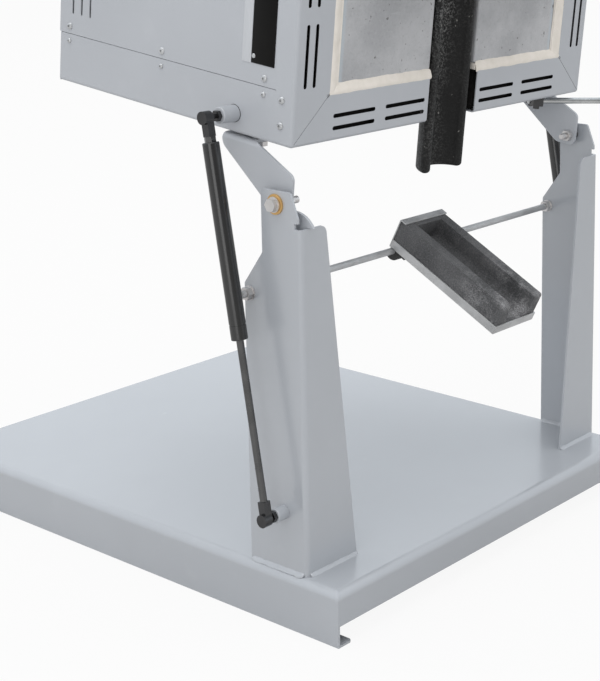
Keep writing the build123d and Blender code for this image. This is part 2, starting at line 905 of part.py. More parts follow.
lining_top = slab_recess + slab_thickness
with BuildPart() as insulation:
    with BuildSketch(hearth_plane.offset(-lining_top)):
        with Locations((0, casing_length / 2)):
            Rectangle(inner_width - 2 * fibre_margin, casing_length - 2 * fibre_end_margin)
    extrude(amount=lining_top + casing_sheet - casing_height)
    with BuildSketch(hearth_plane):
        with Locations((0, crucible_centre)):
            Circle(chamber_radius)
    extrude(amount=-chamber_floor, mode=Mode.SUBTRACT)
    with BuildSketch(hearth_plane):
        with Locations((0, 0)):
            Rectangle(spout_width + 2 * spout_bed_gap, 2 * crucible_centre)
    extrude(amount=-spout_recess - spout_depth - spout_bed_gap, mode=Mode.SUBTRACT)
    with BuildSketch(wall_plane.offset(casing_length)):
        with Locations((0, thermocouple_depth)):
            Circle(thermocouple_radius + bolt_hole_clearance)
    extrude(amount=crucible_centre - casing_length, mode=Mode.SUBTRACT)
keep("insulation", insulation.part)

thermocouple_tip = crucible_centre + crucible_top_radius + thermocouple_clearance
thermocouple_tail = casing_length + thermocouple_stub
with BuildPart() as thermocouple:
    with BuildSketch(wall_plane.offset(thermocouple_tip)):
        with Locations((0, thermocouple_depth)):
            Circle(thermocouple_radius)
    extrude(amount=thermocouple_tail - thermocouple_tip)
    fillet(edges().sort_by(Axis.Z)[0], thermocouple_radius * 0.9)
keep("thermocouple", thermocouple.part)


# Terminal box and cable gland on the casing's top wall, which is its back when it melts
box_wall = wall_plane.offset(casing_length)
with BuildPart() as terminal_box:
    with BuildSketch(box_wall):
        with Locations((0, box_inset)):
            Rectangle(box_width, box_height, align=(Align.CENTER, Align.MIN))
    extrude(amount=box_depth)
    fillet(edges().filter_by(lambda e: not near(place_in_casing(e).Y, casing_length)), box_bend)
    offset(amount=-casing_sheet, openings=faces().sort_by(Axis(casing_corner, casing_up))[0])
    with BuildSketch(side_plane.offset(box_width / 2)):
        with Locations((gland_depth, casing_length + gland_rise)):
            Circle(gland_thread + bolt_hole_clearance)
    extrude(amount=-2 * casing_sheet, mode=Mode.SUBTRACT)
keep("terminal_box", terminal_box.part)

gland_axis = casing_point(box_width / 2, gland_depth, casing_length + gland_rise)
with BuildPart() as cable_gland:
    gland_plane = Plane(gland_axis, x_dir=casing_inward, z_dir=(1, 0, 0))
    with BuildSketch(gland_plane):
        hexagon(gland_flats)
    extrude(amount=gland_hex)
    with BuildSketch(gland_plane.offset(gland_hex)):
        Circle(gland_dome_radius)
    extrude(amount=gland_dome)
    fillet(edges().sort_by(Axis.X)[-1], gland_dome_radius - gland_bore - 1)
    with BuildSketch(gland_plane):
        Circle(gland_thread)
    extrude(amount=-gland_tail)
    with BuildSketch(gland_plane.offset(-gland_tail)):
        Circle(gland_bore)
    extrude(amount=gland_tail + gland_hex + gland_dome, mode=Mode.SUBTRACT)
keep("cable_gland", cable_gland.part)

screw_rows = (
    screw_front_inset, casing_height / 2 + screw_middle_shift, casing_height - screw_back_inset,
)
with BuildPart() as casing_screws:
    with BuildSketch(side_plane.offset(casing_half)):
        with Locations(*[(row, side_seam + screw_above_seam) for row in screw_rows]):
            Circle(screw_large)
        with Locations(*[(row, casing_length - top_screw_inset) for row in screw_rows]):
            Circle(screw_large)
        with Locations(*[(corner_screw_inset, level) for level in corner_screw_heights]):
            Circle(screw_large)
        with Locations(*[(row, side_seam - screw_below_seam) for row in screw_rows]):
            Circle(screw_small)
    extrude(amount=screw_rise)
    fillet(edges().filter_by(lambda e: is_screw_rim(e)), screw_rise * 0.8)
    mirror(about=Plane.YZ)
keep("casing_screws", casing_screws.part)


# Gas struts: ball joints on spacers, outside the uprights
strut_top = casing_point(strut_offset, strut_stud_depth, strut_stud_height)
strut_foot = Vector(strut_offset, front_y + strut_foot_setback, base_top + strut_foot_height)
strut_line = strut_foot - strut_top
strut_length = strut_line.length
strut_plane = Plane(strut_top, x_dir=(1, 0, 0), z_dir=strut_line)
upper_spacer_end = strut_offset - upper_stud_length
lower_spacer_end = strut_offset - lower_stud_length

with BuildPart() as upper_strut_spacers:
    with BuildSketch(side_plane.offset(casing_half)):
        with Locations((strut_stud_depth, strut_stud_height)):
            Circle(spacer_root_radius)
    extrude(amount=upper_spacer_end - casing_half)
    chamfer(edges().sort_by(Axis.X)[-1], spacer_edge)
    mirror(about=Plane.YZ)
keep("upper_strut_spacers", upper_strut_spacers.part)

with BuildPart() as lower_strut_spacers:
    with BuildSketch(Plane.YZ.offset(upright_face)):
        with Locations((strut_foot.Y, strut_foot.Z)):
            Circle(spacer_end_radius)
    extrude(amount=lower_spacer_end - upright_face)
    chamfer(edges().sort_by(Axis.X)[-1], spacer_edge)
    mirror(about=Plane.YZ)
keep("lower_strut_spacers", lower_strut_spacers.part)


def ball_stud(centre, root):
    """A ball on a neck with a hexagon foot, whose axis runs across."""
    foot = Plane((root, centre.Y, centre.Z), x_dir=(0, 1, 0), z_dir=(1, 0, 0))
    with BuildPart() as stud:
        with BuildSketch(foot):
            hexagon(stud_flats)
        extrude(amount=stud_hex_height)
        with BuildSketch(foot):
            Circle(ball_neck_radius)
        extrude(amount=strut_offset - root)
        with Locations(centre):
            Sphere(ball_radius)
    return stud.part


def ball_socket(centre, along):
    """A socket round a ball, with a square shank along the strut."""
    mouth = Plane(centre - Vector(socket_cover, 0, 0), x_dir=along, z_dir=(1, 0, 0))
    with BuildPart() as socket:
        with BuildSketch(mouth):
            Circle(socket_radius)
        extrude(amount=socket_length)
        with BuildSketch(Plane(centre, x_dir=(1, 0, 0), z_dir=along)):
            Rectangle(shank_width, shank_width)
        extrude(amount=shank_end)
        with Locations(centre):
            Sphere(ball_radius + ball_clearance, mode=Mode.SUBTRACT)
        with BuildSketch(Plane.YZ.offset(strut_offset)):
            with Locations((centre.Y, centre.Z)):
                Circle(socket_mouth_radius)
        extrude(amount=-shank_width, mode=Mode.SUBTRACT)
    return socket.part


with BuildPart() as lower_ball_studs:
    add(ball_stud(strut_foot, lower_spacer_end))
    mirror(about=Plane.YZ)
keep("lower_ball_studs", lower_ball_studs.part)

with BuildPart() as right_upper_joint:
    add(ball_stud(strut_top, upper_spacer_end + moving_gap))
    add(ball_socket(strut_top, strut_line.normalized()))
keep("right_upper_joint", right_upper_joint.part)

with BuildPart() as right_cylinder:
    with BuildSketch(strut_plane.offset(shank_end)):
        hexagon(stud_flats)
    extrude(amount=cylinder_start - shank_end)
    with BuildSketch(strut_plane.offset(cylinder_start)):
        Circle(cylinder_radius)
    extrude(amount=cylinder_length)
    fillet(edges().filter_by(GeomType.CIRCLE), cylinder_edge)
    with BuildSketch(strut_plane.offset(cylinder_start + cylinder_cap)):
        Circle(cylinder_radius - cylinder_wall)
    extrude(amount=cylinder_length - cylinder_cap - cylinder_guide, mode=Mode.SUBTRACT)
    cylinder_end = cylinder_start + cylinder_length
    with BuildSketch(strut_plane.offset(cylinder_end)):
        Circle(rod_radius + running_clearance)
    extrude(amount=-cylinder_length / 2, mode=Mode.SUBTRACT)
    with BuildSketch(strut_plane.offset(cylinder_end - cylinder_crimp)):
        Circle(cylinder_radius + crimp_depth)
        Circle(cylinder_radius - crimp_depth, mode=Mode.SUBTRACT)
    extrude(amount=crimp_depth * 2, mode=Mode.SUBTRACT)
keep("right_cylinder", right_cylinder.part)

rod_end = strut_length - shank_end
with BuildPart() as right_rod:
    with BuildSketch(strut_plane.offset(rod_end)):
        Circle(rod_radius)
    extrude(amount=cylinder_end - rod_end - cylinder_guide - piston_length)
    with BuildSketch(strut_plane.offset(cylinder_end - cylinder_guide - moving_gap)):
        Circle(piston_radius)
    extrude(amount=-piston_length)
keep("right_rod", right_rod.part)

with BuildPart() as right_lower_socket:
    add(ball_socket(strut_foot, strut_line.normalized() * -1))
keep("right_lower_socket", right_lower_socket.part)

for side_part in ("upper_joint", "cylinder", "rod", "lower_socket"):
    with BuildPart() as left_side:
        mirror(pieces["right_" + side_part], about=Plane.YZ)
    keep("left_" + side_part, left_side.part)


# Tilt lever, clamped under the lower wall on the right
lever_x, lever_s = lever_start
lever_turn = radians(lever_angle)
lever_line = Vector(cos(lever_turn), 0, 0) + casing_inward * sin(lever_turn)
lever_plane = Plane(casing_point(lever_x, lever_s, -lever_drop), x_dir=casing_up, z_dir=lever_line)
with BuildPart() as tilt_lever:
    with BuildSketch(lever_plane):
        Circle(lever_radius)
    extrude(amount=lever_length)
    chamfer(edges().filter_by(GeomType.CIRCLE), lever_edge)
keep("tilt_lever", tilt_lever.part)

with BuildPart() as lever_grip:
    with BuildSketch(lever_plane.offset(lever_length + grip_cap - grip_length)):
        Circle(grip_radius)
    extrude(amount=grip_length)
    fillet(edges().filter_by(GeomType.CIRCLE), grip_neck)
    with BuildSketch(lever_plane.offset(lever_length)):
        Circle(lever_radius)
    extrude(amount=-grip_length, mode=Mode.SUBTRACT)
keep("lever_grip", lever_grip.part)

with BuildPart() as lever_clamp:
    clamp_plane = lever_plane.offset(clamp_start)
    with BuildSketch(clamp_plane):
        with Locations((lever_drop, 0)):
            Rectangle(lever_drop + clamp_cover, clamp_width, align=(Align.MAX, Align.CENTER))
        Circle(lever_radius + running_clearance, mode=Mode.SUBTRACT)
    extrude(amount=clamp_length)
    clamp_face = Plane(
        casing_point(lever_x, lever_s, -lever_drop - clamp_cover), x_dir=lever_line, z_dir=casing_up
    )
    with BuildSketch(clamp_face):
        with Locations((clamp_start + clamp_length / 2, 0)):
            with GridLocations(0, clamp_bolt_pitch, 1, 2):
                hexagon(clamp_bolt_flats)
    extrude(amount=-clamp_bolt_head)
keep("lever_clamp", lever_clamp.part)


# Lid over the upper part of the hearth, hinged on the frame above it
lid_end = frame_end - lid_end_inset
lid_start = lid_end - lid_length
lid_outer = hearth_plane.offset(lid_gap)
with BuildPart() as lid_shell:
    with BuildSketch(lid_outer):
        with Locations((0, lid_start)):
            Rectangle(lid_width, lid_length, align=(Align.CENTER, Align.MIN))
        fillet(vertices(), lid_corner)
    extrude(amount=lid_height)
    outer_rim = faces().sort_by(Axis(casing_corner, casing_inward))[0].edges()
    chamfer(outer_rim, lid_edge)
    with BuildSketch(lid_outer):
        with Locations((0, lid_start + lid_length / 2)):
            RectangleRounded(
                lid_width - 2 * casing_sheet,
                lid_length - 2 * casing_sheet,
                lid_corner - casing_sheet,
            )
    extrude(amount=lid_height - casing_sheet, mode=Mode.SUBTRACT)
keep("lid_shell", lid_shell.part)

with BuildPart() as lid_insulation:
    with BuildSketch(lid_outer):
        with Locations((0, lid_start + lid_length / 2)):
            RectangleRounded(
                lid_width - 2 * casing_sheet - 2 * fit_gap,
                lid_length - 2 * casing_sheet - 2 * fit_gap,
                lid_corner - casing_sheet,
            )
    extrude(amount=lid_height - casing_sheet)
keep("lid_insulation", lid_insulation.part)

handle_level = lid_start + handle_inset
with BuildPart() as lid_handle:
    with BuildLine() as handle_path:
        corner_points = [
            casing_point(-handle_span / 2, -lid_gap - lid_height, handle_level),
            casing_point(-handle_span / 2, -lid_gap - lid_height - handle_rise, handle_level),
            casing_point(handle_span / 2, -lid_gap - lid_height - handle_rise, handle_level),
            casing_point(handle_span / 2, -lid_gap - lid_height, handle_level),
        ]
        FilletPolyline(*corner_points, radius=handle_bend)
    with BuildSketch(Plane(corner_points[0], x_dir=(1, 0, 0), z_dir=casing_inward * -1)):
        Circle(handle_radius)
    sweep()
keep("lid_handle", lid_handle.part)

with BuildPart() as lid_handle_grip:
    grip_start = corner_points[1] + Vector(handle_span / 2 - handle_grip_length / 2, 0, 0)
    grip_plane = Plane(grip_start, x_dir=casing_up, z_dir=(1, 0, 0))
    with BuildSketch(grip_plane):
        Circle(handle_grip_radius)
    extrude(amount=handle_grip_length)
    fillet(edges().filter_by(GeomType.CIRCLE), handle_grip_edge)
    with BuildSketch(grip_plane):
        Circle(handle_radius)
    extrude(amount=handle_grip_length, mode=Mode.SUBTRACT)
keep("lid_handle_grip", lid_handle_grip.part)

# The hinge's leaves lie on the frame; the arms stand on the lid's edge
hinge_level = lid_end + hinge_setback
with BuildPart() as lid_hinge_base:
    for across in (-1, 1):
        near_side = across * hinge_offset
        with BuildSketch(side_plane.offset(near_side)):
            with Locations((-hinge_rise, hinge_level)):
                Circle(knuckle_radius)
            with BuildLine():
                Polyline(
                    (-hinge_leaf_sheet, frame_end + hinge_leaf_length),
                    (0, frame_end + hinge_leaf_length),
                    (0, frame_end + hinge_leaf_inset),
                    (-hinge_rise + knuckle_radius / 2, hinge_level),
                    (-hinge_rise - knuckle_radius / 2, hinge_level),
                    (-hinge_leaf_sheet, frame_end + hinge_leaf_inset + hinge_rise),
                    close=True,
                )
            make_face()
            with Locations((-hinge_rise, hinge_level)):
                Circle(hinge_pin_radius, mode=Mode.SUBTRACT)
        extrude(amount=-across * knuckle_length)
keep("lid_hinge_base", lid_hinge_base.part)

with BuildPart() as lid_hinge_pin:
    for across in (-1, 1):
        with BuildSketch(side_plane.offset(across * (hinge_offset - knuckle_length - hinge_pin_end))):
            with Locations((-hinge_rise, hinge_level)):
                Circle(hinge_pin_radius)
        extrude(amount=across * 2 * (knuckle_length + hinge_pin_end))
keep("lid_hinge_pin", lid_hinge_pin.part)

with BuildPart() as lid_hinge_arm:
    for across in (-1, 1):
        with BuildSketch(side_plane.offset(across * (hinge_offset + moving_gap))):
            with Locations((-hinge_rise, hinge_level)):
                Circle(knuckle_radius)
            with BuildLine():
                Polyline(
                    (-lid_gap - casing_bend, lid_end),
                    (-hinge_rise + knuckle_radius / 2, hinge_level),
                    (-hinge_rise - knuckle_radius, hinge_level),
                    (-lid_height + casing_bend, lid_end + hinge_leaf_sheet),
                    (-lid_height + casing_bend, lid_end),
                    close=True,
                )
            make_face()
            with Locations((-hinge_rise, hinge_level)):
                Circle(hinge_pin_radius + running_clearance, mode=Mode.SUBTRACT)
        extrude(amount=across * knuckle_length)
keep("lid_hinge_arm", lid_hinge_arm.part)


# Pouring chute: a grooved block in a shallow tray, clipped behind and hung on the crossbar
chute_turn = radians(chute_slope)
chute_normal = Vector(0, -sin(chute_turn), cos(chute_turn))
uphill = Vector(0, cos(chute_turn), sin(chute_turn))
bar_centre = Vector(chute_offset, crossbar_y, crossbar_z)
chute_corner = bar_centre + uphill * chute_bar_inset + chute_normal * chute_bar_drop
chute_plane = Plane(chute_corner, x_dir=(1, 0, 0), z_dir=chute_normal)
chute_edge_plane = Plane(
    chute_corner - Vector(chute_width / 2, 0, 0), x_dir=uphill, z_dir=(1, 0, 0)
)
with BuildPart() as chute_tray:
    with BuildSketch(chute_plane):
        with Locations((0, -chute_sheet)):
            Rectangle(
                chute_width, chute_length - chute_sheet, align=(Align.CENTER, Align.MAX)
            )
    extrude(amount=chute_side)
    with BuildSketch(chute_plane.offset(chute_sheet)):
        Rectangle(
            chute_width - 2 * chute_sheet, chute_length - chute_sheet,
            align=(Align.CENTER, Align.MAX),
        )
    extrude(amount=chute_side, mode=Mode.SUBTRACT)
keep("chute_tray", chute_tray.part)

with BuildPart() as chute_end_clip:
    with BuildSketch(chute_edge_plane):
        Rectangle(chute_sheet, chute_end_height, align=(Align.MAX, Align.MIN))
        with Locations((0, chute_end_height)):
            Rectangle(chute_end_lip, chute_sheet, align=(Align.MAX, Align.MAX))
        fillet(vertices().sort_by(Axis.X)[-2:].sort_by(Axis.Y)[-1], chute_sheet)
    extrude(amount=chute_width)
keep("chute_end_clip", chute_end_clip.part)

block_width = chute_width - 2 * chute_sheet - 2 * chute_block_clearance
block_length = chute_length - 2 * chute_sheet - 2 * chute_block_clearance
block_start = chute_sheet + chute_block_clearance
block_top = chute_end_height - chute_sheet - chute_block_clearance
groove_length = chute_length - chute_groove_end


def is_block_tip(edge, side):
    """Whether an edge is the upper front edge of the block's wall on the given side."""
    place = chute_plane.to_local_coords(edge.center())
    front = near(place.Y, -block_start - block_length) and near(place.Z, block_top)
    return front and place.X * side > 0


with BuildPart() as chute_block:
    with BuildSketch(chute_plane.offset(chute_sheet)):
        with Locations((0, -block_start)):
            Rectangle(block_width, block_length, align=(Align.CENTER, Align.MAX))
    extrude(amount=block_top - chute_sheet)
    groove_face = Plane(
        chute_corner + uphill * -chute_length, x_dir=(1, 0, 0), z_dir=uphill * -1
    )
    with BuildSketch(groove_face):
        with Locations((0, chute_groove_floor)):
            RectangleRounded(
                chute_groove_width, 2 * block_top, chute_groove_radius,
                align=(Align.CENTER, Align.MIN),
            )
    extrude(amount=-groove_length, mode=Mode.SUBTRACT)
    chamfer(edges().filter_by(Axis.X).group_by(Axis.Z)[-1], chute_block_edge)
    fillet(edges().filter_by(lambda e: is_block_tip(e, -1)), chute_worn_radius)
    fillet(edges().filter_by(lambda e: is_block_tip(e, 1)), chute_tip_radius)
keep("chute_block", chute_block.part)

with BuildPart() as chute_clamp:
    clamp_edge = Plane(
        chute_corner + Vector(-chute_clamp_width / 2, 0, 0), x_dir=uphill, z_dir=(1, 0, 0)
    )
    with BuildSketch(clamp_edge):
        with Locations((-chute_bar_inset, -chute_bar_drop)):
            Circle(crossbar_radius + chute_clamp_wall)
        Rectangle(chute_clamp_length, chute_bar_drop, align=(Align.MAX, Align.MAX))
        with Locations((-chute_bar_inset, -chute_bar_drop)):
            Circle(crossbar_radius + running_clearance, mode=Mode.SUBTRACT)
        Rectangle(
            2 * chute_clamp_length, chute_clamp_length,
            align=(Align.CENTER, Align.MIN), mode=Mode.SUBTRACT,
        )
        Rectangle(
            chute_clamp_length, 2 * chute_clamp_length,
            align=(Align.MIN, Align.CENTER), mode=Mode.SUBTRACT,
        )
    extrude(amount=chute_clamp_width)
keep("chute_clamp", chute_clamp.part)

for name, part in pieces.items():
    export_step(part, f"parts/{name}.step")
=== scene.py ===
"""A tilting melting furnace in its pouring pose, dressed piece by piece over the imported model."""
import math

import bmesh
import bpy
from mathutils import Matrix, Vector


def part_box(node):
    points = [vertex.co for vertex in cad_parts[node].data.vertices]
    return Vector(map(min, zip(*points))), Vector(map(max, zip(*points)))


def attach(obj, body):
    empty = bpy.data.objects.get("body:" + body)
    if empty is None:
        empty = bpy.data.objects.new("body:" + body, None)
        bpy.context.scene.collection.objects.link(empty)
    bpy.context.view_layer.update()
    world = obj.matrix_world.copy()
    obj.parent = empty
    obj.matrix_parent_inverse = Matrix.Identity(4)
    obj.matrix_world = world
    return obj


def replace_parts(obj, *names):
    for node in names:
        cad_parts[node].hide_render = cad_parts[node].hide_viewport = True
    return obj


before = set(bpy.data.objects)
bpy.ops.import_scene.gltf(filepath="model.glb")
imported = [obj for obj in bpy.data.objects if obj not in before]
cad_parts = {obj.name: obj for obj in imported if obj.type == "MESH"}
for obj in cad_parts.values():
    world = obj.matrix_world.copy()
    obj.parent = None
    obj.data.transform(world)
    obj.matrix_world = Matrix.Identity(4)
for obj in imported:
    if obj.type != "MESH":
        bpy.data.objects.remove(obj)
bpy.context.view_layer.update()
bpy.ops.object.select_all(action="DESELECT")


# Base tray.  Folded 2.5 mm steel sheet, its sides turned in underneath as bolting lips, with
# a light blue-grey powder coat.  The coat has a faint orange peel, dust and small rubs.
class Shade:
    """A value or colour inside a finish; Python's operators on it add Math nodes."""

    def __init__(self, finish, socket):
        self.finish = finish
        self.socket = socket

    def reckon(self, operation, *values):
        return self.finish.node("ShaderNodeMath", {"operation": operation}, *values).out()

    def out(self, name=0):
        return Shade(self.finish, self.socket.node.outputs[name])

    def __add__(self, other):
        return self.reckon("ADD", self, other)

    def __sub__(self, other):
        return self.reckon("SUBTRACT", self, other)

    def __mul__(self, other):
        return self.reckon("MULTIPLY", self, other)

    def __rsub__(self, other):
        return self.reckon("SUBTRACT", other, self)

    __radd__ = __add__
    __rmul__ = __mul__


class Finish:
    """One material: a principled shader that its own pattern in object coordinates feeds."""

    def __init__(self, name, **constants):
        self.material = bpy.data.materials.new(name)
        self.material.use_nodes = True
        self.tree = self.material.node_tree
        self.shader = self.tree.nodes["Principled BSDF"]
        for socket, value in constants.items():
            self.shader.inputs[socket.replace("_", " ")].default_value = value
        self.place = self.node("ShaderNodeTexCoord").out("Object")

    def node(self, kind, settings=None, *values, **named):
        made = self.tree.nodes.new(kind)
        for key, value in (settings or {}).items():
            if key == "stops":
                ramp = made.color_ramp.elements
                while len(ramp) < len(value):
                    ramp.new(0.5)
                for element, (position, colour) in zip(ramp, value):
                    element.position = position
                    element.color = (*colour, 1)
            else:
                setattr(made, key, value)
        sockets = list(enumerate(values))
        sockets += [(key.replace("_", " "), value) for key, value in named.items()]
        for key, value in sockets:
            if isinstance(value, Shade):
                self.tree.links.new(value.socket, made.inputs[key])
            else:
                made.inputs[key].default_value = value
        return Shade(self, made.outputs[0])

    def noise(self, scale, detail=3.0, roughness=0.5, stretch=None):
        place = self.place
        if stretch:
            place = self.node("ShaderNodeMapping", {}, place, (0, 0, 0), (0, 0, 0), stretch)
        return self.node(
            "ShaderNodeTexNoise", {}, Vector=place, Scale=scale, Detail=detail, Roughness=roughness
        )

    def along(self, axis):
        """The place along x, y or z, in metres."""
        return self.node("ShaderNodeSeparateXYZ", {}, self.place).out(axis)

    def mask(self, value, low, high):
        return self.node(
            "ShaderNodeMapRange", {"interpolation_type": "SMOOTHSTEP"}, value, low, high
        )

    def mix(self, factor, first, second):
        mixed = self.node("ShaderNodeMix", {"data_type": "RGBA"})
        inputs = mixed.socket.node.inputs
        for index, value in ((0, factor), (6, first), (7, second)):
            if isinstance(value, Shade):
                self.tree.links.new(value.socket, inputs[index])
            elif index:
                inputs[index].default_value = (*value, 1)
            else:
                inputs[index].default_value = value
        return mixed.out(2)

    def colour(self, value):
        self.tree.links.new(value.socket, self.shader.inputs["Base Color"])

    def roughness(self, value):
        self.tree.links.new(value.socket, self.shader.inputs["Roughness"])

    def bump(self, height, depth, strength=1.0):
        made = self.node("ShaderNodeBump", {}, strength, depth, Height=height)
        self.tree.links.new(made.socket, self.shader.inputs["Normal"])


def powder_coat(name, colour, rub, gloss):
    """Smooth stoved paint with orange peel, slight cloudiness and a few pale rubs."""
    finish = Finish(name, Coat_Weight=gloss, Coat_Roughness=0.2, Coat_IOR=1.9)
    cloud = finish.noise(4.0, 4.0)
    grime = finish.mask(finish.noise(22.0, 6.0, 0.6), 0.55, 0.8)
    dark = tuple(channel * 0.95 for channel in colour)
    base = finish.mix(finish.mask(cloud, 0.35, 0.65), dark, colour)
    scratch = finish.mask(finish.noise(60.0, 2.0, 0.5, (1.0, 1.0, 9.0)), 0.74, 0.8)
    finish.colour(finish.mix(grime * 0.2 + scratch * 0.25, base, rub))
    finish.roughness(cloud * 0.14 + grime * 0.1 + 0.33)
    peel = finish.noise(900.0, 2.0)
    finish.bump(peel + finish.noise(60.0, 2.0) * 1.5, 0.00005, 0.5)
    return finish.material


merge_distance = 0.00002
flat_angle = math.radians(0.5)


def dress(node, material, body, edge=0.0, angle=30):
    """A copy of a CAD piece, its facets merged and smoothed and its edges eased, in a finish."""
    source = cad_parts[node]
    piece = source.copy()
    piece.data = source.data.copy()
    piece.name = node + "_finished"
    for collection in source.users_collection:
        collection.objects.link(piece)
    piece.data.materials.clear()
    piece.data.materials.append(material)
    shape = bmesh.new()
    shape.from_mesh(piece.data)
    bmesh.ops.remove_doubles(shape, verts=shape.verts, dist=merge_distance)
    bmesh.ops.dissolve_limit(
        shape, angle_limit=flat_angle, verts=shape.verts, edges=shape.edges,
        delimit={"NORMAL"},
    )
    for face in shape.faces:
        face.material_index = 0
    shape.to_mesh(piece.data)
    shape.free()
    bpy.ops.object.select_all(action="DESELECT")
    piece.select_set(True)
    bpy.context.view_layer.objects.active = piece
    if edge:
        bevel = piece.modifiers.new("eased edges", "BEVEL")
        bevel.width = edge
        bevel.segments = 2
        bevel.limit_method = "ANGLE"
        bevel.angle_limit = math.radians(angle)
        bpy.ops.object.modifier_apply(modifier=bevel.name)
    bpy.ops.object.shade_smooth_by_angle(angle=math.radians(angle))
    flattening = piece.modifiers.new("flat faces", "WEIGHTED_NORMAL")
    flattening.keep_sharp = True
    bpy.ops.object.modifier_apply(modifier=flattening.name)
    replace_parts(piece, node)
    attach(piece, body)
    return piece


stand_paint = powder_coat("stand powder coat", (0.375, 0.397, 0.43), (0.47, 0.49, 0.52), 0.9)
dress("base_tray", stand_paint, "stand", 0.0005)

# Uprights.  Bent angle sections of 3 mm steel in the same coat.  Each is welded to the tray
# outside its foot, along the side plate and along the flange, by hand and under the coat.
for side in ("left", "right"):
    dress(side + "_upright", stand_paint, "stand", 0.0004)

bead_radius = 0.0036
bead_pitch = 0.0042
upright_sheet = 0.003


def finish_piece(name, material, body, angle=40):
    """The active new piece, with its place in its mesh, named, finished and carried by a body."""
    piece = bpy.context.object
    bpy.ops.object.select_all(action="DESELECT")
    piece.select_set(True)
    bpy.ops.object.transform_apply(location=True, rotation=True, scale=True)
    bpy.ops.object.shade_smooth_by_angle(angle=math.radians(angle))
    piece.name = name
    piece.data.materials.clear()
    piece.data.materials.append(material)
    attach(piece, body)
    return piece


def pick(where):
    """Select the vertices of the piece in edit mode whose places pass the test."""
    shape = bmesh.from_edit_mesh(bpy.context.edit_object.data)
    for vertex in shape.verts:
        vertex.select_set(bool(where(vertex.co)))
    shape.select_flush_mode()
    bmesh.update_edit_mesh(bpy.context.edit_object.data)


def weld_bead(name, start, end, out):
    """A rippled, flattened bead along a corner that opens towards out: a rod cut across."""
    run = end - start
    bpy.ops.mesh.primitive_cylinder_add(vertices=12, radius=bead_radius, depth=run.length)
    bead = bpy.context.object
    bpy.ops.object.mode_set(mode="EDIT")
    rings = int(run.length / bead_pitch)
    for ring in range(1, rings):
        bpy.ops.mesh.select_all(action="SELECT")
        level = (ring / rings - 0.5) * run.length
        bpy.ops.mesh.bisect(plane_co=(0, 0, level), plane_no=(0, 0, 1))
        ripple = 0.7 + 0.4 * abs(math.sin(ring * 0.95))
        bpy.ops.transform.resize(value=(ripple, ripple, 1), center_override=(0, 0, level))
    bpy.ops.mesh.select_mode(type="VERT")
    pick(lambda place: abs(place.z) > run.length / 2 - 0.0001)
    bpy.ops.transform.resize(value=(0.5, 0.5, 1), center_override=(0, 0, 0))
    bpy.ops.mesh.select_all(action="SELECT")
    bpy.ops.transform.vertex_random(offset=0.0015, uniform=0.4, seed=len(name))
    bpy.ops.transform.resize(value=(0.34, 1.3, 1), center_override=(0, 0, 0))
    bpy.ops.object.mode_set(mode="OBJECT")
    rounding = bead.modifiers.new("rounding", "SUBSURF")
    rounding.levels = rounding.render_levels = 1
    bpy.ops.object.modifier_apply(modifier=rounding.name)
    out = out.normalized()
    along = run.normalized()
    place = (start + end) / 2 + out * bead_radius * 0.45
    bead.matrix_world = Matrix.Translation(place) @ Matrix(
        (out, along.cross(out), along)
    ).transposed().to_4x4()
    return finish_piece(name, stand_paint, "stand", 60)


for side, outwards in (("left", -1), ("right", 1)):
    low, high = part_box(side + "_upright")
    face = low.x if outwards < 0 else high.x
    flange_end = high.x if outwards < 0 else low.x
    inside = face - outwards * upright_sheet
    for name, start, end, out in (
        ("side", (face, low.y + 0.004), (face, high.y - 0.001), (outwards, 0, 1)),
        ("inner", (inside, low.y + 0.012), (inside, high.y - 0.001), (-outwards, 0, 1)),
        ("flange", (face - outwards * 0.004, low.y), (flange_end, low.y), (0, -1, 1)),
    ):
        weld_bead(
            f"{side}_{name}_weld", Vector((*start, low.z)), Vector((*end, low.z)), Vector(out)
        )


# Crossbar.  An 8 mm bar of zinc-plated steel, threaded at its ends.  Nuts and washers inside and
# outside each upright clamp it there.
def plated_steel(name, colour, shine=0.95, dull=0.2):
    """Plated or bright steel with a soft blotchy sheen and fine drawn lines."""
    finish = Finish(name, Metallic=shine, Specular_IOR_Level=0.5)
    blotch = finish.noise(45.0, 4.0)
    dark = tuple(channel * 0.78 for channel in colour)
    finish.colour(finish.mix(finish.mask(blotch, 0.3, 0.7), dark, colour))
    finish.roughness(blotch * 0.2 + dull)
    finish.bump(finish.noise(500.0, 2.0), 0.00003, 0.4)
    return finish.material


zinc = plated_steel("zinc plate", (0.74, 0.72, 0.71), 0.9, 0.22)
dull_zinc = plated_steel("dull zinc plate", (0.60, 0.61, 0.62), 0.5, 0.42)
dress("crossbar", dull_zinc, "stand")
dress("crossbar_nuts", zinc, "stand", 0.0003)

# Tilt pivots.  Turned brass bushes with a flange outside each upright, painted dark inside it as
# the shade between bracket and upright; zinc-plated M8 flange bolts turn in them.
brass = Finish("turned brass", Metallic=0.9)
reach = brass.along("X")
outside = brass.mask(reach.reckon("ABSOLUTE", reach), 0.2745, 0.2755)
blotch = brass.noise(45.0, 4.0)
bare = brass.mix(brass.mask(blotch, 0.3, 0.7), (0.64, 0.40, 0.16), (0.80, 0.50, 0.20))
# Inside the upright the brass is painted near black: painted shade in the gap between bracket and
# upright.
brass.colour(brass.mix(outside, (0.10, 0.095, 0.09), bare))
brass.roughness(blotch * 0.2 + 0.25)
dress("pivot_bushes", brass.material, "stand", 0.0003)
dress("pivot_bolts", zinc, "furnace", 0.0003)
dress("pivot_nuts", zinc, "furnace", 0.0003)
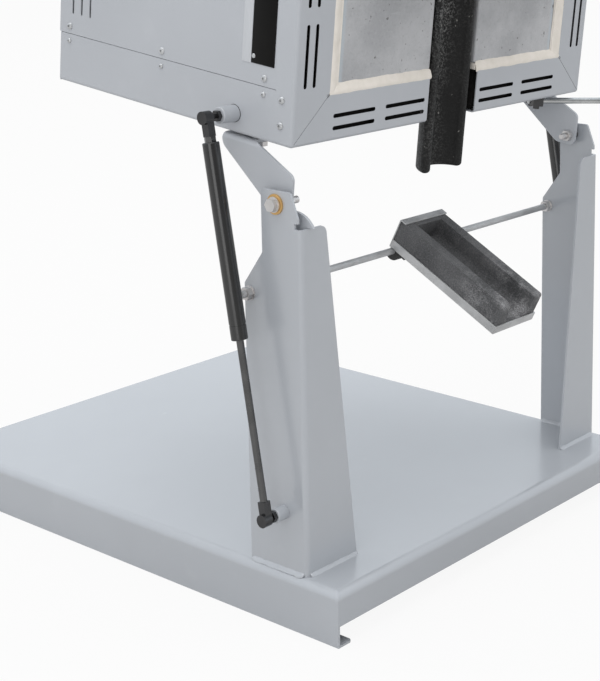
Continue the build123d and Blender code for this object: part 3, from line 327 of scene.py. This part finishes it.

# Casing.  Folded 1.5 mm sheet with a like powder coat: a lower wall wrapped up the sides, side
# panels, a frame round the hearth with welded mitres and vent slots whose walls are painted near
# black as shade, and a terminal box behind.
casing_paint = powder_coat("casing powder coat", (0.42, 0.44, 0.472), (0.52, 0.54, 0.57), 0.15)
for node in (
    "front_wall", "left_side_panel", "right_side_panel", "back_wall", "bottom_plate",
):
    dress(node, casing_paint, "furnace", 0.0001, 50)
for node in ("terminal_box", "upper_strut_spacers"):
    dress(node, casing_paint, "furnace", 0.0003)

lean = math.radians(6.42)
casing_up = Vector((0, -math.sin(lean), math.cos(lean)))
casing_inward = Vector((0, math.cos(lean), math.sin(lean)))
hearth_level = min(v.co.dot(casing_inward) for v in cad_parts["top_frame"].data.vertices)
wall_level = min(v.co.dot(casing_up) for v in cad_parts["front_wall"].data.vertices)
hearth_frame = dress("top_frame", casing_paint, "furnace", 0.0001, 50)
# The slot walls take a near-black finish: painted shade inside the slots.
slot_shade = Finish("sooty cut edge", Roughness=0.9, Specular_IOR_Level=0.1)
slot_shade.colour(slot_shade.mix(slot_shade.noise(90.0), (0.008, 0.008, 0.008), (0.02, 0.02, 0.02)))
hearth_frame.data.materials.append(slot_shade.material)
rim = 0.006
frame_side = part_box("top_frame")[1].x - rim
frame_heights = [v.co.dot(casing_up) for v in hearth_frame.data.vertices]
frame_foot, frame_head = min(frame_heights) + rim, max(frame_heights) - rim
for face in hearth_frame.data.polygons:
    slot_wall = (
        abs(face.normal.dot(casing_inward)) < 0.6
        and 0.0001 < face.center.dot(casing_inward) - hearth_level < 0.0014
        and abs(face.center.x) < frame_side
        and frame_foot < face.center.dot(casing_up) < frame_head
    )
    if slot_wall:
        face.material_index = 1

# Casing screws.  Zinc-plated steel button heads with a hexagon socket, screwed into pressed nuts
# behind the sheet.  The shares are of a head's radius and height.
socket_share = 0.36
socket_sink = 0.55
head_share = 0.56
crown_steps = ((0.96, 0.35), (0.84, 0.65), (0.66, 0.86), (0.5, 0.95))


def loose_pieces(node):
    """The lowest and highest corner of each loose solid in a CAD node, in order of place."""
    shape = bmesh.new()
    shape.from_mesh(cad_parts[node].data)
    bmesh.ops.remove_doubles(shape, verts=shape.verts, dist=merge_distance)
    waiting = set(shape.verts)
    found = []
    while waiting:
        edge_of_search = [waiting.pop()]
        low = edge_of_search[0].co.copy()
        high = low.copy()
        while edge_of_search:
            vertex = edge_of_search.pop()
            low = Vector(map(min, low, vertex.co))
            high = Vector(map(max, high, vertex.co))
            for edge in vertex.link_edges:
                other = edge.other_vert(vertex)
                if other in waiting:
                    waiting.remove(other)
                    edge_of_search.append(other)
        found.append((low, high))
    shape.free()
    found.sort(key=lambda corners: [round(value, 4) for value in corners[0]])
    return found


bpy.ops.mesh.primitive_circle_add(vertices=30, radius=1.0)
button = bpy.context.object
button.name = "button_screw"
bpy.ops.object.mode_set(mode="EDIT")
bpy.ops.mesh.select_mode(type="VERT")
bpy.ops.mesh.select_all(action="SELECT")
share, level = 1.0, 0.0
for next_share, next_level in crown_steps:
    bpy.ops.mesh.extrude_region_move(TRANSFORM_OT_translate={"value": (0, 0, next_level - level)})
    across = next_share / share
    bpy.ops.transform.resize(value=(across, across, 1), center_override=(0, 0, 0))
    share, level = next_share, next_level
bpy.ops.mesh.primitive_circle_add(vertices=6, radius=socket_share, location=(0, 0, level))
pick(lambda place: place.z > level - 0.001)
bpy.ops.mesh.bridge_edge_loops()
pick(lambda place: place.z > level - 0.001 and place.xy.length < socket_share + 0.01)
bpy.ops.mesh.extrude_region_move(TRANSFORM_OT_translate={"value": (0, 0, -socket_sink)})
bpy.ops.mesh.edge_face_add()
bpy.ops.mesh.select_all(action="SELECT")
bpy.ops.mesh.normals_make_consistent(inside=False)
bpy.ops.object.mode_set(mode="OBJECT")

screws = []
for index, (low, high) in enumerate(loose_pieces("casing_screws")):
    middle = (low + high) / 2
    outwards = math.copysign(1, middle.x)
    face = low.x if outwards > 0 else high.x
    radius = (high.y - low.y) * head_share
    screw = button.copy()
    screw.data = button.data.copy()
    bpy.context.collection.objects.link(screw)
    screw.data.transform(
        Matrix.Translation((face, middle.y, middle.z))
        @ Matrix.Rotation(outwards * math.pi / 2, 4, "Y")
        @ Matrix.Rotation(index * 0.7, 4, "Z")
        @ Matrix.Diagonal((radius, radius, high.x - low.x, 1))
    )
    screws.append(screw)
bpy.data.objects.remove(button)
bpy.ops.object.select_all(action="DESELECT")
for screw in screws:
    screw.select_set(True)
bpy.context.view_layer.objects.active = screws[0]
bpy.ops.object.join()
pale_zinc = plated_steel("pale zinc plate", (0.66, 0.67, 0.68), 0.75, 0.3)
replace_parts(finish_piece("casing_screws_finished", pale_zinc, "furnace", 35), "casing_screws")

# Bare plates on the left side panel.  A black plate and a silver strip of thin aluminium lie
# side by side near the hearth face, bonded on, and small rivets hold the black one's ends.
panel_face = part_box("left_side_panel")[0].x
plate_length = 0.26
plate_thickness = 0.0008


def casing_place(x, behind, above):
    """A place on the casing, behind its hearth face and above its lower wall."""
    return (
        Vector((x, 0, 0))
        + casing_inward * (hearth_level + behind)
        + casing_up * (wall_level + above)
    )


def bare_plate(name, material, start, end, foot):
    """A thin plate flat on the left side panel, between two depths behind the hearth face."""
    across, above = (start + end) / 2, foot + plate_length / 2
    middle = casing_place(panel_face - plate_thickness / 2, across, above)
    bpy.ops.mesh.primitive_cube_add(size=1, location=middle, rotation=(lean, 0, 0))
    plate = bpy.context.object
    plate.scale = (plate_thickness, end - start, plate_length)
    bpy.ops.object.transform_apply(location=False, rotation=False, scale=True)
    bpy.ops.object.mode_set(mode="EDIT")
    bpy.ops.mesh.select_mode(type="EDGE")
    bpy.ops.mesh.select_all(action="SELECT")
    bpy.ops.mesh.bevel(offset=plate_thickness * 0.3, segments=2)
    bpy.ops.object.mode_set(mode="OBJECT")
    return finish_piece(name, material, "furnace", 60)


plate_black = Finish("black plate", Specular_IOR_Level=0.1)
cloud = plate_black.noise(30.0)
plate_black.colour(plate_black.mix(cloud, (0.003, 0.003, 0.003), (0.008, 0.0075, 0.007)))
plate_black.roughness(cloud * 0.15 + 0.4)
bare_plate("black_plate", plate_black.material, 0.030, 0.0635, 0.080)
plate_silver = Finish("silver plate", Metallic=0.35)
brushed = plate_silver.noise(40.0, 4.0, 0.6, (1.0, 30.0, 1.0))
plate_silver.colour(plate_silver.mix(brushed, (0.53, 0.55, 0.58), (0.62, 0.64, 0.67)))
plate_silver.roughness(brushed * 0.15 + 0.4)
bare_plate("silver_strip", plate_silver.material, 0.0640, 0.0775, 0.0795)


def pick_low_end():
    """Select the lower round end of the cylinder in edit mode, in its own coordinates."""
    bpy.ops.mesh.select_mode(type="FACE")
    bpy.ops.mesh.select_all(action="DESELECT")
    shape = bmesh.from_edit_mesh(bpy.context.edit_object.data)
    for face in shape.faces:
        face.select_set(len(face.verts) > 4 and face.normal.z < 0)
    bmesh.update_edit_mesh(bpy.context.edit_object.data)


for name, above in (("lower_plate_rivet", 0.0875), ("upper_plate_rivet", 0.072 + plate_length)):
    place = casing_place(panel_face - plate_thickness, 0.0605, above)
    bpy.ops.mesh.primitive_cylinder_add(
        vertices=24, radius=0.0028, depth=0.0012, location=place, rotation=(0, math.pi / 2, 0)
    )
    bpy.ops.object.mode_set(mode="EDIT")
    pick_low_end()
    bpy.ops.mesh.bevel(offset=0.0008, segments=3)
    bpy.ops.mesh.inset(thickness=0.0009, depth=-0.0006)
    bpy.ops.object.mode_set(mode="OBJECT")
    finish_piece(name, pale_zinc, "furnace", 40)

# Hinge brackets.  Folded 3.5 mm plate, painted as the casing is and bolted under its lower
# wall with zinc-plated M8 bolts; the left one has the nose that rests on its upright.
for side in ("left", "right"):
    dress(side + "_hinge_bracket", casing_paint, "furnace", 0.0004)
dress("bracket_bolts", zinc, "furnace", 0.0003)

# Feet and gland.  Moulded black rubber buffers on the bottom plate, and a moulded nylon cable
# gland in the side of the terminal box.
moulded = Finish("moulded black", Roughness=0.55)
moulded.colour(moulded.mix(moulded.noise(30.0), (0.012, 0.012, 0.012), (0.03, 0.03, 0.03)))
moulded.bump(moulded.noise(1500.0, 2.0), 0.00005, 0.6)
dress("feet", moulded.material, "furnace", 0.001)
dress("cable_gland", moulded.material, "furnace", 0.0004)

# Hearth slabs.  Cast refractory, ground flat: grey, with fine grit, open pores and faint
# scrapes, and chipped along the edges.
slab = Finish("cast refractory", Specular_IOR_Level=0.25)
cloud = slab.noise(11.0, 6.0, 0.62)
grit = slab.noise(330.0, 5.0, 0.7)
pore = slab.mask(slab.noise(210.0, 1.0), 0.29, 0.22)
scrape = slab.mask(slab.noise(30.0, 3.0, 0.6, (1.0, 1.0, 7.0)), 0.62, 0.75)
base = slab.mix(slab.mask(cloud, 0.32, 0.68), (0.36, 0.366, 0.38), (0.48, 0.486, 0.50))
base = slab.mix(scrape * 0.3, base, (0.52, 0.53, 0.54))
reach = slab.along("X")
from_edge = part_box("right_slab")[1].x - reach.reckon("ABSOLUTE", reach) + grit * 0.008
base = slab.mix(slab.mask(from_edge, 0.0125, 0.0085) * 0.6, base, (0.46, 0.52, 0.57))
base = slab.mix(slab.mask(grit, 0.5, 0.75) * 0.35, base, (0.53, 0.53, 0.54))
base = slab.mix(slab.mask(grit, 0.46, 0.3) * 0.3, base, (0.22, 0.22, 0.225))
slab.colour(slab.mix(pore * 0.7, base, (0.12, 0.115, 0.11)))
slab.roughness(grit * 0.2 + 0.7)
slab.bump(grit * 0.6 + pore * -1.0 + cloud, 0.0004, 0.5)
for side in ("left", "right"):
    dress(side + "_slab", slab.material, "furnace", 0.0008)

# Mortar.  Cream air-setting cement, trowelled into the 8 to 15 mm gap round the slabs by hand:
# it laps 1 to 3 mm over the frame and the slabs with a wavy edge, and its face is lumpy.
mortar = Finish("cream mortar", Specular_IOR_Level=0.2)
lump = mortar.noise(60.0, 6.0, 0.6)
cream = mortar.mix(mortar.mask(lump, 0.3, 0.65), (0.71, 0.67, 0.605), (0.77, 0.725, 0.67))
speck = mortar.mask(mortar.noise(500.0, 3.0, 0.6), 0.64, 0.74)
mortar.colour(mortar.mix(speck * 0.25, cream, (0.62, 0.54, 0.45)))
mortar.roughness(lump * 0.2 + 0.75)
mortar.bump(lump + mortar.noise(160.0, 3.0) * 0.3, 0.0006, 0.35)
dress("mortar_joint", mortar.material, "furnace", 0.0006)

run_step = 0.006
lap_profile = ((0.0, 0.0002), (0.25, -0.0006), (0.5, 0.0002), (0.75, 0.0018), (1.0, 0.0038))


def mortar_run(name, start, end, across, width):
    """A trowelled strip from one place to another: a grid shaped row by row, edges waved."""
    run = end - start
    bpy.ops.mesh.primitive_grid_add(
        x_subdivisions=int(run.length / run_step), y_subdivisions=4, size=1
    )
    strip = bpy.context.object
    strip.scale = (run.length, width, 1)
    bpy.ops.object.transform_apply(location=False, rotation=False, scale=True)
    bpy.ops.object.mode_set(mode="EDIT")
    bpy.ops.mesh.select_mode(type="VERT")
    bpy.ops.mesh.select_all(action="SELECT")
    bpy.ops.transform.vertex_random(offset=0.0011, uniform=0.2, seed=len(name))
    for share, depth in lap_profile:
        row = (share - 0.5) * width
        pick(lambda place: abs(place.y - row) < width / 8)
        flatness = 0.4 if 0 < share < 1 else 0
        bpy.ops.transform.resize(value=(1, 1, flatness), center_override=(0, 0, 0))
        bpy.ops.transform.translate(value=(0, 0, -depth))
    bpy.ops.mesh.select_all(action="SELECT")
    bpy.ops.mesh.extrude_region_move(TRANSFORM_OT_translate={"value": (0, 0, -0.0006)})
    bpy.ops.mesh.select_all(action="SELECT")
    bpy.ops.mesh.normals_make_consistent(inside=False)
    bpy.ops.object.mode_set(mode="OBJECT")
    rounding = strip.modifiers.new("rounding", "SUBSURF")
    rounding.levels = rounding.render_levels = 1
    bpy.ops.object.modifier_apply(modifier=rounding.name)
    along = run.normalized()
    strip.matrix_world = Matrix.Translation((start + end) / 2) @ Matrix(
        (along, across, along.cross(across))
    ).transposed().to_4x4()
    finish_piece(name, mortar.material, "furnace", 60)


sideways = Vector((1, 0, 0))
for side, outwards in (("left", -1), ("right", 1)):
    run_ends = [casing_place(outwards * 0.2035, 0, above) for above in (0.476, 0.053)]
    if outwards > 0:
        run_ends.reverse()
    mortar_run(side + "_mortar", *run_ends, sideways * -outwards, 0.0175)
    foot_ends = [casing_place(outwards * x, 0, 0.0562) for x in (0.212, 0.0415)]
    if outwards > 0:
        foot_ends.reverse()
    mortar_run(side + "_foot_mortar", *foot_ends, casing_up, 0.0125)
mortar_run(
    "far_mortar",
    casing_place(0.21, 0, 0.474),
    casing_place(-0.21, 0, 0.474),
    casing_up * -1,
    0.012,
)

# Relief notches.  A small hole at the inner end of each lower mitre of the frame, cut so that its
# two flanges could be bent, shown as a near-black disc of painted shade.
notch_radius = 0.0015
for side, outwards in (("left", -1), ("right", 1)):
    bpy.ops.mesh.primitive_cylinder_add(
        vertices=20, radius=notch_radius, depth=0.0005, rotation=(lean - math.pi / 2, 0, 0),
        location=casing_place(outwards * 0.2136, 0, 0.0507),
    )
    bpy.ops.object.mode_set(mode="EDIT")
    pick_low_end()
    bpy.ops.mesh.inset(thickness=0.0004, depth=-0.0003)
    bpy.ops.object.mode_set(mode="OBJECT")
    finish_piece(side + "_relief_notch", slot_shade.material, "furnace", 40)

# Crucible and spout.  Clay-bonded graphite: near black, half glossy on rubbed edges, dusted
# with pale grains where metal has run down the channel, fewer towards its right side as painted
# shade.
graphite = Finish("clay graphite", Specular_IOR_Level=0.26)
cloud = graphite.noise(40.0, 5.0)
flake = graphite.mask(graphite.noise(430.0, 5.0, 0.7), 0.47, 0.6)
patch = graphite.mask(graphite.noise(26.0, 5.0, 0.65, (1.0, 1.0, 0.35)), 0.42, 0.64)
chip = graphite.mask(graphite.noise(130.0, 2.0, 0.5), 0.70, 0.74)
base = graphite.mix(cloud, (0.004, 0.004, 0.004), (0.014, 0.014, 0.0137))
low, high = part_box("pouring_spout")
upper = graphite.mask(graphite.along("Z"), low.z + 0.06, low.z + 0.16) * 0.65 + 0.2
# Fewer grains towards the channel's right side: painted shade, as that side lies in shadow.
upper = upper * (graphite.mask(graphite.along("X"), 0.022, -0.004) * 0.75 + 0.25)
base = graphite.mix(flake * patch * upper + flake * upper * 0.3, base, (0.27, 0.27, 0.265))
graphite.colour(graphite.mix(chip * 0.6, base, (0.38, 0.37, 0.35)))
graphite.roughness(cloud * 0.25 + 0.32)
graphite.bump(cloud + flake * 0.4, 0.0006, 0.7)
dress("crucible", graphite.material, "furnace", 0.0006)
dress("pouring_spout", graphite.material, "furnace", 0.002)

# Lining, elements and probe.  Ceramic fibre board painted near black, as the shade seen behind
# the slots, with silicon carbide rods and a ceramic sheath, all inside the casing.
fibre_and_shade = Finish("heat-darkened fibre board", Roughness=0.95, Specular_IOR_Level=0.1)
fibre_and_shade.colour(fibre_and_shade.mix(fibre_and_shade.noise(200.0, 6.0), (0.006, 0.006, 0.006), (0.02, 0.019, 0.018)))
fibre_and_shade.bump(fibre_and_shade.noise(400.0, 6.0), 0.0005)
dress("insulation", fibre_and_shade.material, "furnace")
fibre = Finish("fibre board", Roughness=0.95)
fibre.colour(fibre.mix(fibre.noise(200.0, 6.0), (0.75, 0.73, 0.68), (0.88, 0.87, 0.83)))
fibre.bump(fibre.noise(400.0, 6.0), 0.0005)
dress("lid_insulation", fibre.material, "lid")
for node in ("crucible_stand", "heating_elements", "thermocouple"):
    dress(node, slab.material, "furnace", 0.0004)

# Fibre packing in the cavities behind the vent slots: near-black blocks of painted shade that fill
# the view through the slots.
for side, outwards in (("left", -1), ("right", 1)):
    packing_place = casing_place(outwards * 0.154, 0.0205, 0.0305)
    bpy.ops.mesh.primitive_cube_add(size=1, location=packing_place, rotation=(lean, 0, 0))
    packing = bpy.context.object
    packing.scale = (0.213, 0.025, 0.055)
    bpy.ops.object.transform_apply(location=False, rotation=False, scale=True)
    bpy.ops.object.mode_set(mode="EDIT")
    bpy.ops.mesh.select_mode(type="VERT")
    bpy.ops.mesh.select_all(action="SELECT")
    bpy.ops.mesh.subdivide(number_cuts=7)
    bpy.ops.transform.vertex_random(offset=0.0008, uniform=0.3, seed=3)
    bpy.ops.object.mode_set(mode="OBJECT")
    finish_piece(side + "_fibre_packing", fibre_and_shade.material, "furnace", 60)

# Gas struts.  Black painted cylinders, dark nitrided rods and blackened ball joints, on spacers
# painted with the casing and the uprights.  A thin near-black ring round each upper spacer's root
# is painted shade in the gap there.
black = Finish("black gloss paint", Specular_IOR_Level=0.9)
black.colour(black.mix(black.noise(14.0), (0.004, 0.004, 0.004), (0.009, 0.009, 0.0095)))
black.roughness(black.noise(25.0) * 0.1 + 0.16)
black.bump(black.noise(700.0), 0.00004, 0.5)
blackened = plated_steel("blackened steel", (0.085, 0.085, 0.087), 0.9, 0.12)
nitrided = plated_steel("nitrided rod", (0.14, 0.14, 0.14), 0.9, 0.18)
for side in ("left", "right"):
    dress(side + "_cylinder", black.material, side + "_strut_cylinder")
    dress(side + "_upper_joint", blackened, side + "_strut_cylinder", 0.0012)
    dress(side + "_rod", nitrided, side + "_strut_rod")
    dress(side + "_lower_socket", blackened, side + "_strut_rod", 0.0012)
dress("lower_ball_studs", blackened, "stand", 0.0002)
dress("lower_strut_spacers", stand_paint, "stand", 0.0003)

# Near-black rings of painted shade round each upper spacer's root, where the gap in the panel lies
# in shadow.
gap_width = 0.0007
for low, high in loose_pieces("upper_strut_spacers"):
    outwards = math.copysign(1, low.x)
    root = low.x if outwards > 0 else high.x
    spacer_radius = (high.y - low.y) / 2
    bpy.ops.mesh.primitive_circle_add(
        vertices=48, radius=spacer_radius - 0.0002, location=(root, *((low + high) / 2).yz),
        rotation=(0, outwards * math.pi / 2, 0),
    )
    bpy.ops.object.mode_set(mode="EDIT")
    bpy.ops.mesh.select_all(action="SELECT")
    bpy.ops.mesh.extrude_region_move()
    growth = (spacer_radius + gap_width) / spacer_radius
    middle = tuple(bpy.context.object.location)
    bpy.ops.transform.resize(value=(growth, growth, growth), center_override=middle)
    bpy.ops.mesh.select_all(action="SELECT")
    bpy.ops.mesh.extrude_region_move(TRANSFORM_OT_translate={"value": (outwards * 0.0003, 0, 0)})
    bpy.ops.mesh.select_all(action="SELECT")
    bpy.ops.mesh.normals_make_consistent(inside=False)
    bpy.ops.object.mode_set(mode="OBJECT")
    side = "left" if outwards < 0 else "right"
    finish_piece(side + "_spacer_gap", fibre_and_shade.material, "furnace", 40)

# Tilt lever.  A bright ground steel rod with a moulded grip pressed on its end, held at its root
# by a small blackened clamp.
bright = plated_steel("bright rod", (0.60, 0.61, 0.61), 0.95, 0.16)
dress("tilt_lever", bright, "furnace")
dress("lever_grip", moulded.material, "furnace")
dress("lever_clamp", blackened, "furnace", 0.0004)

# Lid.  A folded sheet tray packed with fibre board, in the casing's paint.  Its handle, hinge
# arms, bases and pins are zinc-plated steel, and its grip is moulded.
dress("lid_shell", casing_paint, "lid", 0.0004)
dress("lid_handle", zinc, "lid")
dress("lid_handle_grip", moulded.material, "lid")
dress("lid_hinge_arm", zinc, "lid", 0.0003)
dress("lid_hinge_base", zinc, "furnace", 0.0003)
dress("lid_hinge_pin", zinc, "furnace", 0.0003)

# Pouring chute.  A pressed carbon block with a sawn groove, grey and gritty, worn pale where
# metal runs off its front; a satin steel tray holds it, on a black clamp round the crossbar.
block = Finish("grooved carbon block", Specular_IOR_Level=0.35)
low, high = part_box("chute_block")
near_front = block.mask(block.along("Y"), low.y + 0.085, low.y + 0.02)
grit = block.noise(620.0, 4.0, 0.75)
smear = block.mask(block.noise(38.0, 6.0, 0.65), 0.42, 0.7)
blotch = block.mask(block.noise(16.0, 5.0), 0.3, 0.7)
base = block.mix(blotch, (0.050, 0.051, 0.054), (0.100, 0.101, 0.105))
base = block.mix(block.mask(grit, 0.48, 0.66) * 0.35, base, (0.25, 0.25, 0.255))
base = block.mix(block.mask(grit, 0.47, 0.34) * 0.4, base, (0.02, 0.02, 0.021))
worn = smear * near_front * (block.mask(grit, 0.4, 0.6) * 0.7 + 0.15) + smear * 0.06
block.colour(block.mix(worn, base, (0.36, 0.36, 0.37)))
block.roughness(grit * 0.25 + 0.55)
block.bump(grit + block.noise(60.0, 5.0), 0.0006, 0.6)
dress("chute_block", block.material, "chute", 0.0008)
satin = plated_steel("satin steel", (0.58, 0.585, 0.59), 0.6, 0.28)
for node in ("chute_tray", "chute_end_clip"):
    dress(node, satin, "chute", 0.0003)
dress("chute_clamp", moulded.material, "chute", 0.0006)

# Floor, light and camera.  A grey studio floor that the camera sees almost white, a world that is
# white to the camera and dimmer towards it in reflections, and two soft lamps.  The photo is a
# crop, so the camera is shifted to put the lens axis where the photo has it.
bpy.ops.object.select_all(action="DESELECT")
bpy.ops.mesh.primitive_plane_add(size=30, location=(0, 0, 0))
floor = bpy.context.object
floor.name = "floor"
ground = Finish("studio floor", Roughness=0.9, Specular_IOR_Level=0.0)
ground.shader.inputs["Base Color"].default_value = (0.52, 0.52, 0.52, 1)
ray = ground.node("ShaderNodeLightPath")
paper = ground.node("ShaderNodeEmission", {}, (1, 1, 1, 1), 1.0)
matt = Shade(ground, ground.shader.outputs[0])
blend = ground.node("ShaderNodeMixShader", {}, ray.out("Is Camera Ray") * 0.92, matt, paper)
ground.tree.links.new(blend.socket, ground.tree.nodes["Material Output"].inputs[0])
floor.data.materials.append(ground.material)

world = bpy.data.worlds.new("studio")
bpy.context.scene.world = world
world.use_nodes = True
sky = world.node_tree


def glow(colour, strength):
    """The output of a background of one colour."""
    made = sky.nodes.new("ShaderNodeBackground")
    made.inputs[0].default_value = (*colour, 1)
    made.inputs[1].default_value = strength
    return made.outputs[0]


def choose(factor, first, second):
    """A mix of two backgrounds."""
    made = sky.nodes.new("ShaderNodeMixShader")
    for index, source in enumerate((factor, first, second)):
        sky.links.new(source, made.inputs[index])
    return made.outputs[0]


path = sky.nodes.new("ShaderNodeLightPath")
heading = sky.nodes.new("ShaderNodeVectorMath")
heading.operation = "DOT_PRODUCT"
heading.inputs[1].default_value = (-0.7, -0.7, 0.0)
sky.links.new(sky.nodes.new("ShaderNodeTexCoord").outputs["Generated"], heading.inputs[0])
behind_camera = sky.nodes.new("ShaderNodeMapRange")
behind_camera.interpolation_type = "SMOOTHSTEP"
behind_camera.inputs[1].default_value = 0.1
behind_camera.inputs[2].default_value = 0.8
sky.links.new(heading.outputs["Value"], behind_camera.inputs[0])
mirrored = choose(behind_camera.outputs[0], glow((0.88, 0.94, 1.0), 1.0), glow((1, 1, 1), 0.3))
around = choose(path.outputs["Is Glossy Ray"], glow((1, 1, 1), 0.98), mirrored)
shown = choose(path.outputs["Is Camera Ray"], around, glow((1, 1, 1), 1.0))
sky.links.new(shown, sky.nodes["World Output"].inputs[0])


def lamp(name, place, target, size, power):
    """A soft square lamp aimed at a point."""
    light = bpy.data.lights.new(name, "AREA")
    light.size = size
    light.energy = power
    holder = bpy.data.objects.new(name, light)
    holder.location = place
    holder.rotation_euler = (Vector(target) - Vector(place)).to_track_quat("-Z", "Y").to_euler()
    bpy.context.collection.objects.link(holder)


lamp("overhead", (-1.1, 0.0, 7.0), (0, 0, 0.3), 7.0, 265)
lamp("left", (-3.0, -1.5, 1.0), (0, 0, 0.4), 1.8, 15)

camera = bpy.data.objects.new("camera", bpy.data.cameras.new("camera"))
bpy.context.collection.objects.link(camera)
turn, dip = math.radians(-52.19), math.radians(10.38)
sight = Vector(
    (-math.sin(turn) * math.cos(dip), math.cos(turn) * math.cos(dip), -math.sin(dip))
)
camera.location = (-1.4111, -1.4014, 0.8112)
camera.rotation_euler = sight.to_track_quat("-Z", "Y").to_euler()
camera.data.sensor_width = 36.0
camera.data.lens = 82.97
photo_width, photo_height = 600, 681
centre_across, centre_down = 470.0, 153.9
camera.data.shift_x = (photo_width / 2 - centre_across) / photo_height
camera.data.shift_y = (centre_down - photo_height / 2) / photo_height
bpy.context.scene.camera = camera
bpy.context.scene.view_settings.view_transform = "Standard"
